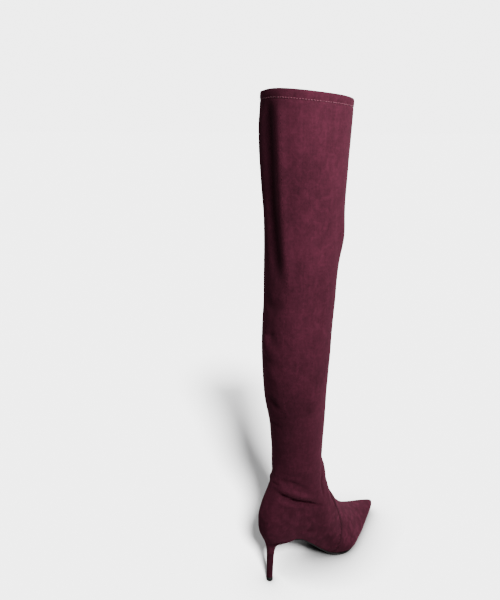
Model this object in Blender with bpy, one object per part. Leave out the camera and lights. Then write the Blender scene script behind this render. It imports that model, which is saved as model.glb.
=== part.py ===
"""Thigh high boot for the right foot: pointed toe, slim high heel and a close pull-on shaft.

The toe points to -Y and the outer side of the foot to -X. Along is the distance from the back of the
counter towards the toe. Every ring of the upper runs once round the foot or leg, from the front over
the outer side to the back and home over the inner side.
"""
import math
from collections import namedtuple

import bmesh
import bpy
import numpy as np
from mathutils import Vector

# Foot
SHOE_LENGTH = 0.247
BALL_WIDTH = 0.0745
CUP_WIDTH = 0.0560
HEEL_HEIGHT = 0.0725
TOE_SWING = 0.0075
WAIST_SWING = 0.0030

# Leg
ANKLE_RISE = 0.1085
ANKLE_CENTRE = 0.0630
ANKLE_LENGTH = 0.0668
ANKLE_WIDTH = 0.0650
BOOT_HEIGHT = 0.6280
COLLAR_LENGTH = 0.1015
COLLAR_WIDTH = 0.0989
COLLAR_FRONT_DROP = 0.0035
COLLAR_SIDE_DROP = 0.0035

# Leather and its seams
WALL = 0.0016
SEAM_STEP = 0.0007
HEM_DEPTH = 0.0115
HEM_GROOVE = 0.0004
HEM_GROOVE_HALF = 0.0014
COLLAR_ROUND = 0.0006

# Bottom pieces
GAP = 0.0003
SOLE_THICKNESS = 0.0034
WAIST_THICKNESS = 0.0022
SOLE_OUTSET = 0.0004
TOE_OUTSET_SHARE = 1.5
SOLE_CHAMFER = 0.0010
INSOLE_THICKNESS = 0.0020
INSOLE_INSET = 0.0030
INSOLE_TIP_INSET = 0.0070
BREAST = 0.0470

# Heel
STEM_SETBACK = 0.0190
STEM_RADIUS = 0.0043
TIP_HEIGHT = 0.0055
TIP_OUTSET = 0.0002
TIP_CHAMFER = 0.0005
STEM_SWEEP = math.radians(140)

# Fineness of the meshes
HALF_COLUMNS = 24
SIDE_CROWDING = 0.30
HEEL_STATIONS = 9

# Underside of the upper: along as a share of the shoe's length, rise of the heel's
Feather = namedtuple("Feather", "along rise")
FEATHER = (
    Feather(0.00, 1.000),
    Feather(0.12, 0.955),
    Feather(0.215, 0.850),
    Feather(0.30, 0.610),
    Feather(0.385, 0.310),
    Feather(0.46, 0.098),
    Feather(0.515, 0.018),
    Feather(0.56, 0.000),
    Feather(0.69, 0.000),
    Feather(0.80, 0.016),
    Feather(0.90, 0.042),
    Feather(1.00, 0.070),
)

# Sideways run of the foot's centre: out at the waist, in at the toe
Bend = namedtuple("Bend", "along waist toe")
BENDS = (
    Bend(0.00, 0.0, 0.00),
    Bend(0.14, 0.0, 0.00),
    Bend(0.40, 1.0, 0.00),
    Bend(0.60, 0.5, 0.05),
    Bend(0.70, 0.0, 0.30),
    Bend(0.80, 0.0, 0.55),
    Bend(0.90, 0.0, 0.80),
    Bend(1.00, 0.0, 1.00),
)

# Rings of the foot. Front and back are shares of the shoe's length, their rises above the underside
# shares of the ankle's rise. Upright is 0 where a ring follows the underside and 1 where it lies level
# round the leg. Cup and seat are shares of half the cup's width, the rest of half the ball's width.
# Point and square shape the ring's front and back ends. Steps are the rings up to the next row.
Foot = namedtuple("Foot", "front front_rise back back_rise upright "
                          "cup seat waist forewaist ball tread fore toe point square steps")
FOOT = (
    Foot(0.970, 0.000, 0.040, 0.000, 0.00, 0.79, 0.83, 0.56, 0.72, 0.90, 0.80, 0.58, 0.44, 1.04, 0.50, 1),
    Foot(0.990, 0.040, 0.026, 0.070, 0.00, 0.87, 0.91, 0.64, 0.82, 1.03, 0.92, 0.67, 0.50, 1.02, 0.52, 1),
    Foot(0.986, 0.074, 0.018, 0.184, 0.00, 0.94, 0.97, 0.70, 0.87, 1.06, 0.94, 0.69, 0.52, 1.02, 0.54, 2),
    Foot(0.940, 0.134, 0.017, 0.306, 0.00, 0.95, 0.98, 0.76, 0.88, 1.00, 0.90, 0.70, 0.55, 1.02, 0.56, 2),
    Foot(0.832, 0.238, 0.031, 0.429, 0.02, 0.94, 0.98, 0.80, 0.87, 0.93, 0.87, 0.74, 0.62, 0.98, 0.60, 2),
    Foot(0.735, 0.354, 0.055, 0.551, 0.08, 0.95, 0.98, 0.82, 0.84, 0.88, 0.86, 0.78, 0.70, 0.98, 0.66, 2),
    Foot(0.655, 0.488, 0.080, 0.653, 0.20, 0.96, 1.00, 0.83, 0.84, 0.86, 0.87, 0.82, 0.74, 0.98, 0.74, 2),
    Foot(0.587, 0.636, 0.098, 0.755, 0.45, 1.00, 1.03, 0.85, 0.85, 0.86, 0.88, 0.84, 0.80, 0.95, 0.82, 2),
    Foot(0.512, 0.808, 0.111, 0.847, 0.75, 1.03, 1.05, 0.88, 0.88, 0.88, 0.88, 0.86, 0.84, 0.95, 0.90, 2),
)
WIDTH_AT = (0.0, 0.14, 0.38, 0.48, 0.58, 0.71, 0.86, 1.0)

# Rings of the leg: height as a share of the way from ankle to collar, centre as a share of the
# ankle's, fullness 0 at the ankle's size and 1 at the collar's
Leg = namedtuple("Leg", "height centre fullness steps")
LEG = (
    Leg(0.00, 1.000, 0.00, 2),
    Leg(0.10, 0.970, 0.13, 2),
    Leg(0.22, 0.895, 0.38, 2),
    Leg(0.36, 0.875, 0.53, 3),
    Leg(0.52, 0.925, 0.59, 3),
    Leg(0.66, 0.950, 0.69, 3),
    Leg(0.82, 0.930, 0.91, 2),
    Leg(0.93, 0.925, 1.01, 1),
    Leg(1.00, 0.945, 1.00, 0),
)
LEG_POINT = 0.97

# Seam between vamp and leg, seen from the side: along as a share of the shoe's length, height as a
# share of the ankle's height above the floor
Seam = namedtuple("Seam", "along height")
SEAM = (
    Seam(0.430, -0.060),
    Seam(0.454, 0.050),
    Seam(0.479, 0.151),
    Seam(0.493, 0.221),
    Seam(0.504, 0.304),
    Seam(0.492, 0.403),
    Seam(0.464, 0.489),
    Seam(0.441, 0.568),
    Seam(0.423, 0.650),
    Seam(0.410, 0.735),
    Seam(0.400, 0.823),
    Seam(0.401, 0.926),
    Seam(0.425, 1.000),
)
# Share of the leg's height that the vamp's peak lies under
PEAK_SHARE = 0.10

# Heel from its seat down to the tip: level is a share of the drop, the others say how far the
# breast, the back and the sides have drawn in to the stem
Draw = namedtuple("Draw", "level breast back side")
DRAWS = (
    Draw(0.00, 0.00, 0.00, 0.00),
    Draw(0.02, 0.28, 0.05, 0.08),
    Draw(0.05, 0.70, 0.14, 0.38),
    Draw(0.09, 0.87, 0.26, 0.63),
    Draw(0.16, 0.94, 0.46, 0.81),
    Draw(0.30, 0.98, 0.73, 0.91),
    Draw(0.58, 0.99, 0.93, 0.97),
    Draw(1.00, 1.00, 1.00, 1.00),
)

# Colours, roughness
SUEDE_COLOUR = (0.105, 0.020, 0.038)
SUEDE_ROUGHNESS = 0.95
SOLE_COLOUR = (0.012, 0.010, 0.011)
SOLE_ROUGHNESS = 0.55
LINING_COLOUR = (0.030, 0.020, 0.024)
LINING_ROUGHNESS = 0.80
TIP_COLOUR = (0.010, 0.010, 0.010)
TIP_ROUGHNESS = 0.45

SMOOTH_ANGLE = math.radians(38)


def curve(stations, values, where):
    """Smooth curve through the stations that never overshoots them."""
    stations = np.asarray(stations, float)
    values = np.asarray(values, float)
    where = np.asarray(where, float)
    widths = np.diff(stations)
    slopes = np.diff(values) / widths
    ends = np.empty(len(stations))
    ends[0] = slopes[0]
    ends[-1] = slopes[-1]
    for i in range(1, len(stations) - 1):
        before, after = slopes[i - 1], slopes[i]
        if before * after <= 0:
            ends[i] = 0.0
        else:
            near = 2 * widths[i] + widths[i - 1]
            far = widths[i] + 2 * widths[i - 1]
            ends[i] = (near + far) / (near / before + far / after)
    k = np.clip(np.searchsorted(stations, where) - 1, 0, len(stations) - 2)
    t = np.clip((where - stations[k]) / widths[k], 0, 1)
    start = (2 * t**3 - 3 * t**2 + 1) * values[k] + (t**3 - 2 * t**2 + t) * widths[k] * ends[k]
    finish = (-2 * t**3 + 3 * t**2) * values[k + 1] + (t**3 - t**2) * widths[k] * ends[k + 1]
    return start + finish


def smooth(share):
    """Soft step from 0 to 1."""
    return share * share * (3 - 2 * share)


def column_of(rows, name):
    """One named column of a table."""
    return [getattr(row, name) for row in rows]


def underside(along):
    """Height of the upper's lower edge at a distance along the foot."""
    low = SOLE_THICKNESS + GAP
    rise = curve(column_of(FEATHER, "along"), column_of(FEATHER, "rise"), along / SHOE_LENGTH)
    return low + (HEEL_HEIGHT - low) * rise


def centre_line(along):
    """Sideways place of the foot's centre, positive towards the outer side."""
    share = np.clip(along / SHOE_LENGTH, 0, 1)
    waist = curve(column_of(BENDS, "along"), column_of(BENDS, "waist"), share)
    toe = curve(column_of(BENDS, "along"), column_of(BENDS, "toe"), share)
    return WAIST_SWING * waist - TOE_SWING * toe


# Rings in metres

Ring = namedtuple("Ring", "front front_z back back_z upright "
                          "cup seat waist forewaist ball tread fore toe "
                          "around point square")


def foot_ring(row):
    """A row of the foot's table with its shares turned into lengths."""
    front = row.front * SHOE_LENGTH
    back = row.back * SHOE_LENGTH
    cup = CUP_WIDTH / 2
    ball = BALL_WIDTH / 2
    return Ring(front, float(underside(front)) + row.front_rise * ANKLE_RISE,
                back, float(underside(back)) + row.back_rise * ANKLE_RISE, row.upright,
                row.cup * cup, row.seat * cup, row.waist * ball, row.forewaist * ball,
                row.ball * ball, row.tread * ball, row.fore * ball, row.toe * ball,
                ANKLE_WIDTH / 2, row.point, row.square)


def leg_ring(row):
    """A row of the leg's table with its shares turned into lengths."""
    ankle = HEEL_HEIGHT + ANKLE_RISE
    height = ankle + (BOOT_HEIGHT - ankle) * row.height
    middle = ANKLE_CENTRE * row.centre
    length = (ANKLE_LENGTH + (COLLAR_LENGTH - ANKLE_LENGTH) * row.fullness) / 2
    width = (ANKLE_WIDTH + (COLLAR_WIDTH - ANKLE_WIDTH) * row.fullness) / 2
    drop = COLLAR_FRONT_DROP * row.height**4
    return Ring(middle + length, height - drop, middle - length, height + drop, 1.0,
                *[width] * len(WIDTH_AT), width, LEG_POINT, LEG_POINT)


def rings_between(rings, steps):
    """The table's rings with the asked number of rings filled in after each."""
    table = np.array(rings, float)
    index = np.arange(len(table))
    filled = []
    for i, count in enumerate(steps[:-1]):
        for j in range(count):
            place = i + j / count
            filled.append(Ring(*[float(curve(index, table[:, c], place)) for c in range(table.shape[1])]))
    filled.append(Ring(*table[-1]))
    return filled


def drawn_in(ring, inset, lowering):
    """The ring made smaller by an inset all round, and set lower."""
    widths = [value - inset for value in ring[5:14]]
    return Ring(ring.front - inset, ring.front_z - lowering, ring.back + inset, ring.back_z - lowering,
                ring.upright, *widths, ring.point, ring.square)


def hem_rings(collar):
    """The stitched hem: a shallow groove below the collar, and the collar's rounded edge."""
    steps = ((HEM_DEPTH + HEM_GROOVE_HALF, 0.0), (HEM_DEPTH, HEM_GROOVE),
             (HEM_DEPTH - HEM_GROOVE_HALF, 0.0), (2 * COLLAR_ROUND, 0.0), (0.0, COLLAR_ROUND))
    return [drawn_in(collar, inset, lowering) for lowering, inset in steps]


def upper_rings():
    """All rings of the upper from its lower edge to the collar."""
    rings = [foot_ring(row) for row in FOOT] + [leg_ring(row) for row in LEG]
    steps = column_of(FOOT, "steps") + column_of(LEG, "steps")
    filled = rings_between(rings, steps)
    return filled[:-1] + hem_rings(filled[-1])


def column_angles():
    """Angles round a ring, crowded together along the sides, where the foot is long."""
    turn = np.arange(2 * HALF_COLUMNS) / (2 * HALF_COLUMNS)
    return 2 * math.pi * turn + SIDE_CROWDING / 2 * np.sin(4 * math.pi * turn)


def ring_points(ring, angles):
    """Points of one ring: sideways, along and height."""
    share = (1 - np.cos(angles)) / 2
    along = ring.front + (ring.back - ring.front) * share
    front_rise = ring.front_z - underside(ring.front)
    back_rise = ring.back_z - underside(ring.back)
    following = underside(along) + front_rise + (back_rise - front_rise) * share
    level = ring.front_z + (ring.back_z - ring.front_z) * share
    height = ring.upright * level + (1 - ring.upright) * following
    foot = curve(WIDTH_AT, ring[5:13], np.clip(along / SHOE_LENGTH, 0, 1))
    half = ring.upright * ring.around + (1 - ring.upright) * foot
    ends = ring.point + (ring.square - ring.point) * smooth(share)
    side = np.sin(angles)
    sideways = np.sign(side) * half * np.abs(side)**ends
    way_up = np.clip((ring.front_z - HEEL_HEIGHT - ANKLE_RISE) / (BOOT_HEIGHT - HEEL_HEIGHT - ANKLE_RISE),
                     0, 1)
    height = height - COLLAR_SIDE_DROP * way_up**4 * sideways / ring.around
    centre = centre_line(along) * (1 - ring.upright)
    return np.stack([-(centre + sideways), -along, height], -1)


def ring_mesh(rings):
    """Open tube through the rings."""
    angles = column_angles()
    count = len(angles)
    points = np.concatenate([ring_points(ring, angles) for ring in rings])
    faces = []
    for i in range(len(rings) - 1):
        for j in range(count):
            k = (j + 1) % count
            faces.append((i * count + j, (i + 1) * count + j, (i + 1) * count + k, i * count + k))
    return points, faces


# Flat pieces under and in the foot: pairs of points, outer and inner side, on levels one above another

Level = namedtuple("Level", "tip_along along centre half tip_height height")


def edge_half(along):
    """Half the width of the upper's lower edge at a distance along the foot."""
    ring = foot_ring(FOOT[0])
    share = np.clip((ring.front - along) / (ring.front - ring.back), 0, 1)
    foot = curve(WIDTH_AT, ring[5:13], along / SHOE_LENGTH)
    ends = ring.point + (ring.square - ring.point) * smooth(share)
    return foot * (2 * np.sqrt(share * (1 - share)))**ends


def offset_half(along, outset):
    """The lower edge's half width with its outline moved outwards."""
    reach = SHOE_LENGTH / 500
    slope = (edge_half(along + reach) - edge_half(along - reach)) / (2 * reach)
    return edge_half(along) + outset * np.sqrt(1 + slope**2)


def edge_stations(low, high):
    """Places along the foot where the upper's columns meet its lower edge, between two limits."""
    ring = foot_ring(FOOT[0])
    share = (1 - np.cos(column_angles()[1:HALF_COLUMNS])) / 2
    along = ring.front + (ring.back - ring.front) * share
    return along[(along > low) & (along < high)]


def levels_mesh(levels):
    """Closed solid through the levels, from the top one down; each has a tip and pairs of points."""
    points = []
    pairs = len(levels[0].along)
    count = 2 * pairs + 1
    for level in levels:
        points.append((-float(centre_line(level.tip_along)), -level.tip_along, level.tip_height))
        for side in (1, -1):
            for along, centre, half, height in zip(level.along, level.centre, level.half, level.height):
                points.append((-(centre + side * half), -along, height))
    faces = []
    for k, flip in ((0, False), (len(levels) - 1, True)):
        outer = [k * count + 1 + i for i in range(pairs)]
        inner = [k * count + 1 + pairs + i for i in range(pairs)]
        cap = [(k * count, outer[0], inner[0])]
        cap += [(outer[i], outer[i + 1], inner[i + 1], inner[i]) for i in range(pairs - 1)]
        faces += [face[::-1] if flip else face for face in cap]
    loop = [0] + list(range(1, pairs + 1)) + list(range(2 * pairs, pairs, -1))
    for k in range(len(levels) - 1):
        for i in range(count):
            a, b = loop[i], loop[(i + 1) % count]
            faces.append((k * count + a, (k + 1) * count + a, (k + 1) * count + b, k * count + b))
    return np.array(points), faces


def sole_depth(along):
    """Thickness of the outsole: full under the forefoot, thin through the waist."""
    share = np.clip((along / SHOE_LENGTH - FEATHER[4].along) / (FEATHER[6].along - FEATHER[4].along), 0, 1)
    return WAIST_THICKNESS + (SOLE_THICKNESS - WAIST_THICKNESS) * smooth(share)


def outsole_levels():
    """Outsole from the toe to the heel's breast, its lower edge chamfered."""
    start = BREAST + GAP
    front = FOOT[0].front * SHOE_LENGTH
    along = np.append(edge_stations(start + SOLE_THICKNESS, front), start)
    top = underside(along) - GAP
    tip_top = float(underside(front)) - GAP
    levels = []
    for outset, sink in ((SOLE_OUTSET, 0.0), (SOLE_OUTSET, 0.55), (SOLE_OUTSET - SOLE_CHAMFER, 1.0)):
        half = offset_half(along, outset)
        tip = front + TOE_OUTSET_SHARE * outset
        levels.append(Level(tip, along, centre_line(along), half,
                            tip_top - sink * float(sole_depth(front)), top - sink * sole_depth(along)))
    return levels


def insole_levels():
    """Insole inside the upper's lower edge, level across the foot."""
    back = FOOT[0].back * SHOE_LENGTH + INSOLE_INSET
    tip = FOOT[0].front * SHOE_LENGTH - INSOLE_TIP_INSET
    along = np.append(edge_stations(back + INSOLE_THICKNESS, tip - INSOLE_THICKNESS), back)
    half = offset_half(along, -INSOLE_INSET)
    low = underside(along)
    tip_low = float(underside(tip))
    return [Level(tip, along, centre_line(along), half, tip_low + rise, low + rise)
            for rise in (INSOLE_THICKNESS, 0.0)]


def heel_levels():
    """Covered heel: the seat follows the upper's lower edge, then draws in to the slim stem."""
    angle = STEM_SWEEP * np.arange(1, HEEL_STATIONS + 1) / HEEL_STATIONS
    share = (1 - np.cos(angle)) / (1 - math.cos(STEM_SWEEP))
    back = FOOT[0].back * SHOE_LENGTH
    seat_along = back + (BREAST - back) * share
    seat_half = edge_half(seat_along)
    seat_top = underside(seat_along) - GAP
    tip_top = float(underside(back)) - GAP
    stem_along = STEM_SETBACK - STEM_RADIUS * np.cos(angle)
    stem_half = STEM_RADIUS * np.sin(angle)
    floor = TIP_HEIGHT + GAP
    levels = []
    for draw in DRAWS:
        inward = draw.back + (draw.breast - draw.back) * share
        along = seat_along + (stem_along - seat_along) * inward
        half = seat_half + (stem_half - seat_half) * draw.side
        tip_along = back + (STEM_SETBACK - STEM_RADIUS - back) * draw.back
        levels.append(Level(tip_along, along, np.zeros_like(along), half,
                            tip_top + (floor - tip_top) * draw.level,
                            seat_top + (floor - seat_top) * draw.level))
    return levels


def tip_levels():
    """Heel tip under the stem, a little wider, with a chamfer all round its foot."""
    angle = STEM_SWEEP * np.arange(1, HEEL_STATIONS + 1) / HEEL_STATIONS
    levels = []
    for height, outset in ((TIP_HEIGHT, TIP_OUTSET), (TIP_CHAMFER, TIP_OUTSET), (0.0, -TIP_CHAMFER)):
        radius = STEM_RADIUS + outset
        along = STEM_SETBACK - radius * np.cos(angle)
        flat = np.full(len(angle), height)
        levels.append(Level(STEM_SETBACK - radius, along, np.zeros_like(flat), radius * np.sin(angle),
                            height, flat))
    return levels


# Objects

def make_material(name, colour, roughness):
    """Plain surface of one colour."""
    material = bpy.data.materials.new(name)
    material.use_nodes = True
    shader = material.node_tree.nodes["Principled BSDF"]
    shader.inputs["Base Color"].default_value = (*colour, 1.0)
    shader.inputs["Roughness"].default_value = roughness
    shader.inputs["Metallic"].default_value = 0.0
    material.diffuse_color = (*colour, 1.0)
    return material


def suede_material():
    return make_material("burgundy_suede", SUEDE_COLOUR, SUEDE_ROUGHNESS)


def sole_material():
    return make_material("sole_black", SOLE_COLOUR, SOLE_ROUGHNESS)


def lining_material():
    return make_material("lining_dark", LINING_COLOUR, LINING_ROUGHNESS)


def tip_material():
    return make_material("tip_rubber", TIP_COLOUR, TIP_ROUGHNESS)


def add_object(name, points, faces, material=None):
    """Object of that name with its own mesh, shaded smooth."""
    mesh = bpy.data.meshes.new(name)
    mesh.from_pydata([tuple(point) for point in points], [], faces)
    mesh.validate()
    piece = bpy.data.objects.new(name, mesh)
    bpy.context.scene.collection.objects.link(piece)
    if material:
        mesh.materials.append(material)
    return piece


def face_outwards(piece):
    """Turns the faces of a closed mesh to point out."""
    shell = bmesh.new()
    shell.from_mesh(piece.data)
    bmesh.ops.recalc_face_normals(shell, faces=shell.faces)
    shell.to_mesh(piece.data)
    shell.free()


def finish_surface(piece):
    """Smooth shading that keeps real edges."""
    piece.data.shade_smooth()
    piece.data.set_sharp_from_angle(angle=SMOOTH_ANGLE)


def make_cutter(piece):
    """Marks a shape that only cuts others."""
    piece.hide_render = True
    piece.display_type = "WIRE"


def thicken(piece, thickness, offset):
    """Gives an open surface a wall of even thickness."""
    solid = piece.modifiers.new("wall", "SOLIDIFY")
    solid.thickness = thickness
    solid.offset = offset
    solid.use_even_offset = True
    solid.use_rim = True


def cut_with(piece, cutter, operation):
    """Boolean of two closed solids."""
    cut = piece.modifiers.new("cut", "BOOLEAN")
    cut.object = cutter
    cut.operation = operation
    cut.solver = "EXACT"


def seam_prism():
    """Everything ahead of the seam between vamp and leg, as a block right across the foot."""
    ankle = HEEL_HEIGHT + ANKLE_RISE
    bottom, top = SEAM[0].height * ankle, SEAM[-1].height * ankle
    ahead = SHOE_LENGTH + BALL_WIDTH
    outline = [(-seam.along * SHOE_LENGTH, seam.height * ankle) for seam in SEAM]
    outline += [(-ahead, top), (-ahead, bottom)]
    count = len(outline)
    points = [(side * BALL_WIDTH, y, z) for side in (-1, 1) for y, z in outline]
    faces = [tuple(range(count)), tuple(range(2 * count - 1, count - 1, -1))]
    for i in range(count):
        k = (i + 1) % count
        faces.append((i, i + count, k + count, k))
    prism = add_object("seam_prism", points, faces)
    face_outwards(prism)
    make_cutter(prism)
    return prism


def vamp_skin():
    """Thin layer over the vamp that sets it back behind the leg's edge at the seam."""
    peak = tuple(row for row in LEG if row.height <= PEAK_SHARE)
    rings = [foot_ring(row) for row in FOOT] + [leg_ring(row) for row in peak]
    filled = rings_between(rings, column_of(FOOT + peak, "steps"))
    lower = np.array(filled[0]) - (np.array(filled[1]) - np.array(filled[0])) / 2
    points, faces = ring_mesh([Ring(*lower)] + filled)
    skin = add_object("vamp_skin", points, faces)
    thicken(skin, 2 * SEAM_STEP, 0.0)
    cut_with(skin, seam_prism(), "INTERSECT")
    make_cutter(skin)
    return skin


def make_upper():
    """Vamp and leg as one hollow solid, open at the collar and underneath."""
    points, faces = ring_mesh(upper_rings())
    upper = add_object("upper", points, faces, suede_material())
    thicken(upper, WALL, -1.0)
    cut_with(upper, vamp_skin(), "DIFFERENCE")
    return upper


def make_levels(name, levels, material):
    """Solid made of levels."""
    points, faces = levels_mesh(levels)
    piece = add_object(name, points, faces, material)
    face_outwards(piece)
    return piece


def settle(pieces):
    """Moves everything so that the middle of the boot's box stands on the origin."""
    bpy.context.view_layer.update()
    corners = [piece.matrix_world @ Vector(corner)
               for piece in pieces if not piece.hide_render for corner in piece.bound_box]
    low = Vector([min(corner[i] for corner in corners) for i in range(3)])
    high = Vector([max(corner[i] for corner in corners) for i in range(3)])
    shift = Vector((-(low.x + high.x) / 2, -(low.y + high.y) / 2, -low.z))
    for piece in pieces:
        piece.location = shift


def main():
    for old in list(bpy.data.objects):
        bpy.data.objects.remove(old, do_unlink=True)
    make_upper()
    make_levels("insole", insole_levels(), lining_material())
    make_levels("outsole", outsole_levels(), sole_material())
    make_levels("heel", heel_levels(), suede_material())
    make_levels("heel_tip", tip_levels(), tip_material())
    pieces = list(bpy.context.scene.objects)
    for piece in pieces:
        finish_surface(piece)
    settle(pieces)


if __name__ == "__main__":
    main()
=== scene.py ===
"""Looks of the thigh high boot: burgundy stretch suede, covered slim heel, dark leather sole.

The toe points to -Y and the outer side of the foot to -X. Along is the distance from the back of the
counter towards the toe. A turn of 0 is the front of the foot or leg, 90 its outer side, 180 the back
and 270 the inner side. A rise counts the rows of the foot's and the leg's tables from the sole up.
"""

import math
from collections import namedtuple
from functools import lru_cache

import bmesh
import bpy
import numpy as np
from bpy.props import FloatProperty, FloatVectorProperty, PointerProperty
from mathutils import Euler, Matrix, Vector


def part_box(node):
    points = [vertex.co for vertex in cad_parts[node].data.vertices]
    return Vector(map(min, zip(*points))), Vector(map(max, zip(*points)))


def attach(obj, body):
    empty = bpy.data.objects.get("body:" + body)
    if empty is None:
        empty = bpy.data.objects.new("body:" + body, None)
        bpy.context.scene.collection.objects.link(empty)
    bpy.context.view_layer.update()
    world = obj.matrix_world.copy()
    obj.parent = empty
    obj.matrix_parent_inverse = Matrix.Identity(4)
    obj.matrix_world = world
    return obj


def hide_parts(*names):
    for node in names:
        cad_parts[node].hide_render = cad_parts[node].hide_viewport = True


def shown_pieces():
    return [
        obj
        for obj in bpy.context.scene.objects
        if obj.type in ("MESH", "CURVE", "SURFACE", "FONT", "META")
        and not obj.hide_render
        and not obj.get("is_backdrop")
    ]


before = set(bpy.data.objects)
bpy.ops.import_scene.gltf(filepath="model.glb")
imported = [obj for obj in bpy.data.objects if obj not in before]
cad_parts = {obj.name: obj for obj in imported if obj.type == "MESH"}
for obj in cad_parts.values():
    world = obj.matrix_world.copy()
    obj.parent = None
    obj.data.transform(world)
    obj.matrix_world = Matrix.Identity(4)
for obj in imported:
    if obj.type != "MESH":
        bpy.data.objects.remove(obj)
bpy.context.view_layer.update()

bl_info = {
    "name": "Thigh High Boot",
    "version": (1, 0, 0),
    "blender": (4, 5, 0),
    "location": "View3D > Sidebar > Boot",
    "description": "Builds the suede, heel, sole and stitches of a thigh high boot round its solids",
    "category": "Add Mesh",
}

# Foot
SHOE_LENGTH = 0.247
BALL_WIDTH = 0.0745
CUP_WIDTH = 0.0560
HEEL_HEIGHT = 0.0725
TOE_SWING = 0.0075
WAIST_SWING = 0.0030

# Leg
ANKLE_RISE = 0.1085
ANKLE_CENTRE = 0.0630
ANKLE_LENGTH = 0.0668
ANKLE_WIDTH = 0.0650
BOOT_HEIGHT = 0.6280
COLLAR_LENGTH = 0.1015
COLLAR_WIDTH = 0.0989
COLLAR_FRONT_DROP = 0.0035
COLLAR_SIDE_DROP = 0.0035
LEG_POINT = 0.97
ANKLE_LEVEL = HEEL_HEIGHT + ANKLE_RISE

# Bottom pieces and heel
GAP = 0.0003
SOLE_THICKNESS = 0.0034
WAIST_THICKNESS = 0.0022
SOLE_OUTSET = 0.0004
SOLE_CHAMFER = 0.0010
TOE_OUTSET_SHARE = 1.5
BREAST = 0.0470
STEM_SETBACK = 0.0190
STEM_RADIUS = 0.0043
TIP_HEIGHT = 0.0055
TIP_OUTSET = 0.0002
TIP_CHAMFER = 0.0005
TIP_EDGE = 0.00025
STEM_SWEEP = math.radians(140)
SHARP_HEEL = math.radians(42)
SHARP_SOLE = math.radians(50)
LEAST_HALF = 0.0004
# Profile of the sole's edge from the top down: outset, and the share of its thickness below the top
SOLE_EDGE = (
    (SOLE_OUTSET - 0.0002, 0.0),
    (SOLE_OUTSET, 0.08),
    (SOLE_OUTSET, 0.55),
    (SOLE_OUTSET - 0.35 * SOLE_CHAMFER, 0.84),
    (SOLE_OUTSET - SOLE_CHAMFER, 1.0),
)
# Profile of the heel tip's edge from the top down: height and outset
TIP_PROFILE = (
    (TIP_HEIGHT, TIP_OUTSET - TIP_EDGE),
    (TIP_HEIGHT - TIP_EDGE, TIP_OUTSET),
    (TIP_CHAMFER, TIP_OUTSET),
    (0.4 * TIP_CHAMFER, 0.0),
    (0.0, -TIP_CHAMFER),
)

# Fineness of the meshes
COLUMNS = 176
RING_SPACING = 0.0021
INNER_STEP = 3
SIDE_CROWDING = 0.30
HEEL_STATIONS = 26
HEEL_LEVELS = 60
HEEL_CROWDING = 1.8
SOLE_STATIONS = 120
SOLE_CROWDING = 1.6
FINE_RISES = 60
CREASE_STEPS = 12

# Where the boot stands in the frame: the row's y of the back of the counter
Y_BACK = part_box("heel_tip")[1].y + STEM_SETBACK - STEM_RADIUS - TIP_OUTSET

Feather = namedtuple("Feather", "along rise")
FEATHER = (
    Feather(0.00, 1.000),
    Feather(0.12, 0.955),
    Feather(0.215, 0.850),
    Feather(0.30, 0.610),
    Feather(0.385, 0.310),
    Feather(0.46, 0.098),
    Feather(0.515, 0.018),
    Feather(0.56, 0.000),
    Feather(0.69, 0.000),
    Feather(0.80, 0.016),
    Feather(0.90, 0.042),
    Feather(1.00, 0.070),
)

Bend = namedtuple("Bend", "along waist toe")
BENDS = (
    Bend(0.00, 0.0, 0.00),
    Bend(0.14, 0.0, 0.00),
    Bend(0.40, 1.0, 0.00),
    Bend(0.60, 0.5, 0.05),
    Bend(0.70, 0.0, 0.30),
    Bend(0.80, 0.0, 0.55),
    Bend(0.90, 0.0, 0.80),
    Bend(1.00, 0.0, 1.00),
)

Foot = namedtuple("Foot", "front front_rise back back_rise upright "
                          "cup seat waist forewaist ball tread fore toe point square")
FOOT = (
    Foot(0.970, 0.000, 0.040, 0.000, 0.00, 0.79, 0.83, 0.56, 0.72, 0.90, 0.80, 0.58, 0.44, 1.04, 0.50),
    Foot(0.990, 0.040, 0.026, 0.070, 0.00, 0.87, 0.91, 0.64, 0.82, 1.03, 0.92, 0.67, 0.50, 1.02, 0.52),
    Foot(0.986, 0.074, 0.018, 0.184, 0.00, 0.94, 0.97, 0.70, 0.87, 1.06, 0.94, 0.69, 0.52, 1.02, 0.54),
    Foot(0.940, 0.134, 0.017, 0.306, 0.00, 0.95, 0.98, 0.76, 0.88, 1.00, 0.90, 0.70, 0.55, 1.02, 0.56),
    Foot(0.832, 0.238, 0.031, 0.429, 0.02, 0.94, 0.98, 0.80, 0.87, 0.93, 0.87, 0.74, 0.62, 0.98, 0.60),
    Foot(0.735, 0.354, 0.055, 0.551, 0.08, 0.95, 0.98, 0.82, 0.84, 0.88, 0.86, 0.78, 0.70, 0.98, 0.66),
    Foot(0.655, 0.488, 0.080, 0.653, 0.20, 0.96, 1.00, 0.83, 0.84, 0.86, 0.87, 0.82, 0.74, 0.98, 0.74),
    Foot(0.587, 0.636, 0.098, 0.755, 0.45, 1.00, 1.03, 0.85, 0.85, 0.86, 0.88, 0.84, 0.80, 0.95, 0.82),
    Foot(0.512, 0.808, 0.111, 0.847, 0.75, 1.03, 1.05, 0.88, 0.88, 0.88, 0.88, 0.86, 0.84, 0.95, 0.90),
)
WIDTH_AT = (0.0, 0.14, 0.38, 0.48, 0.58, 0.71, 0.86, 1.0)

Leg = namedtuple("Leg", "height centre fullness")
LEG = (
    Leg(0.00, 1.000, 0.00),
    Leg(0.10, 0.970, 0.13),
    Leg(0.22, 0.895, 0.38),
    Leg(0.36, 0.875, 0.53),
    Leg(0.52, 0.925, 0.59),
    Leg(0.66, 0.950, 0.69),
    Leg(0.82, 0.930, 0.91),
    Leg(0.93, 0.925, 1.01),
    Leg(1.00, 0.945, 1.00),
)

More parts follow.
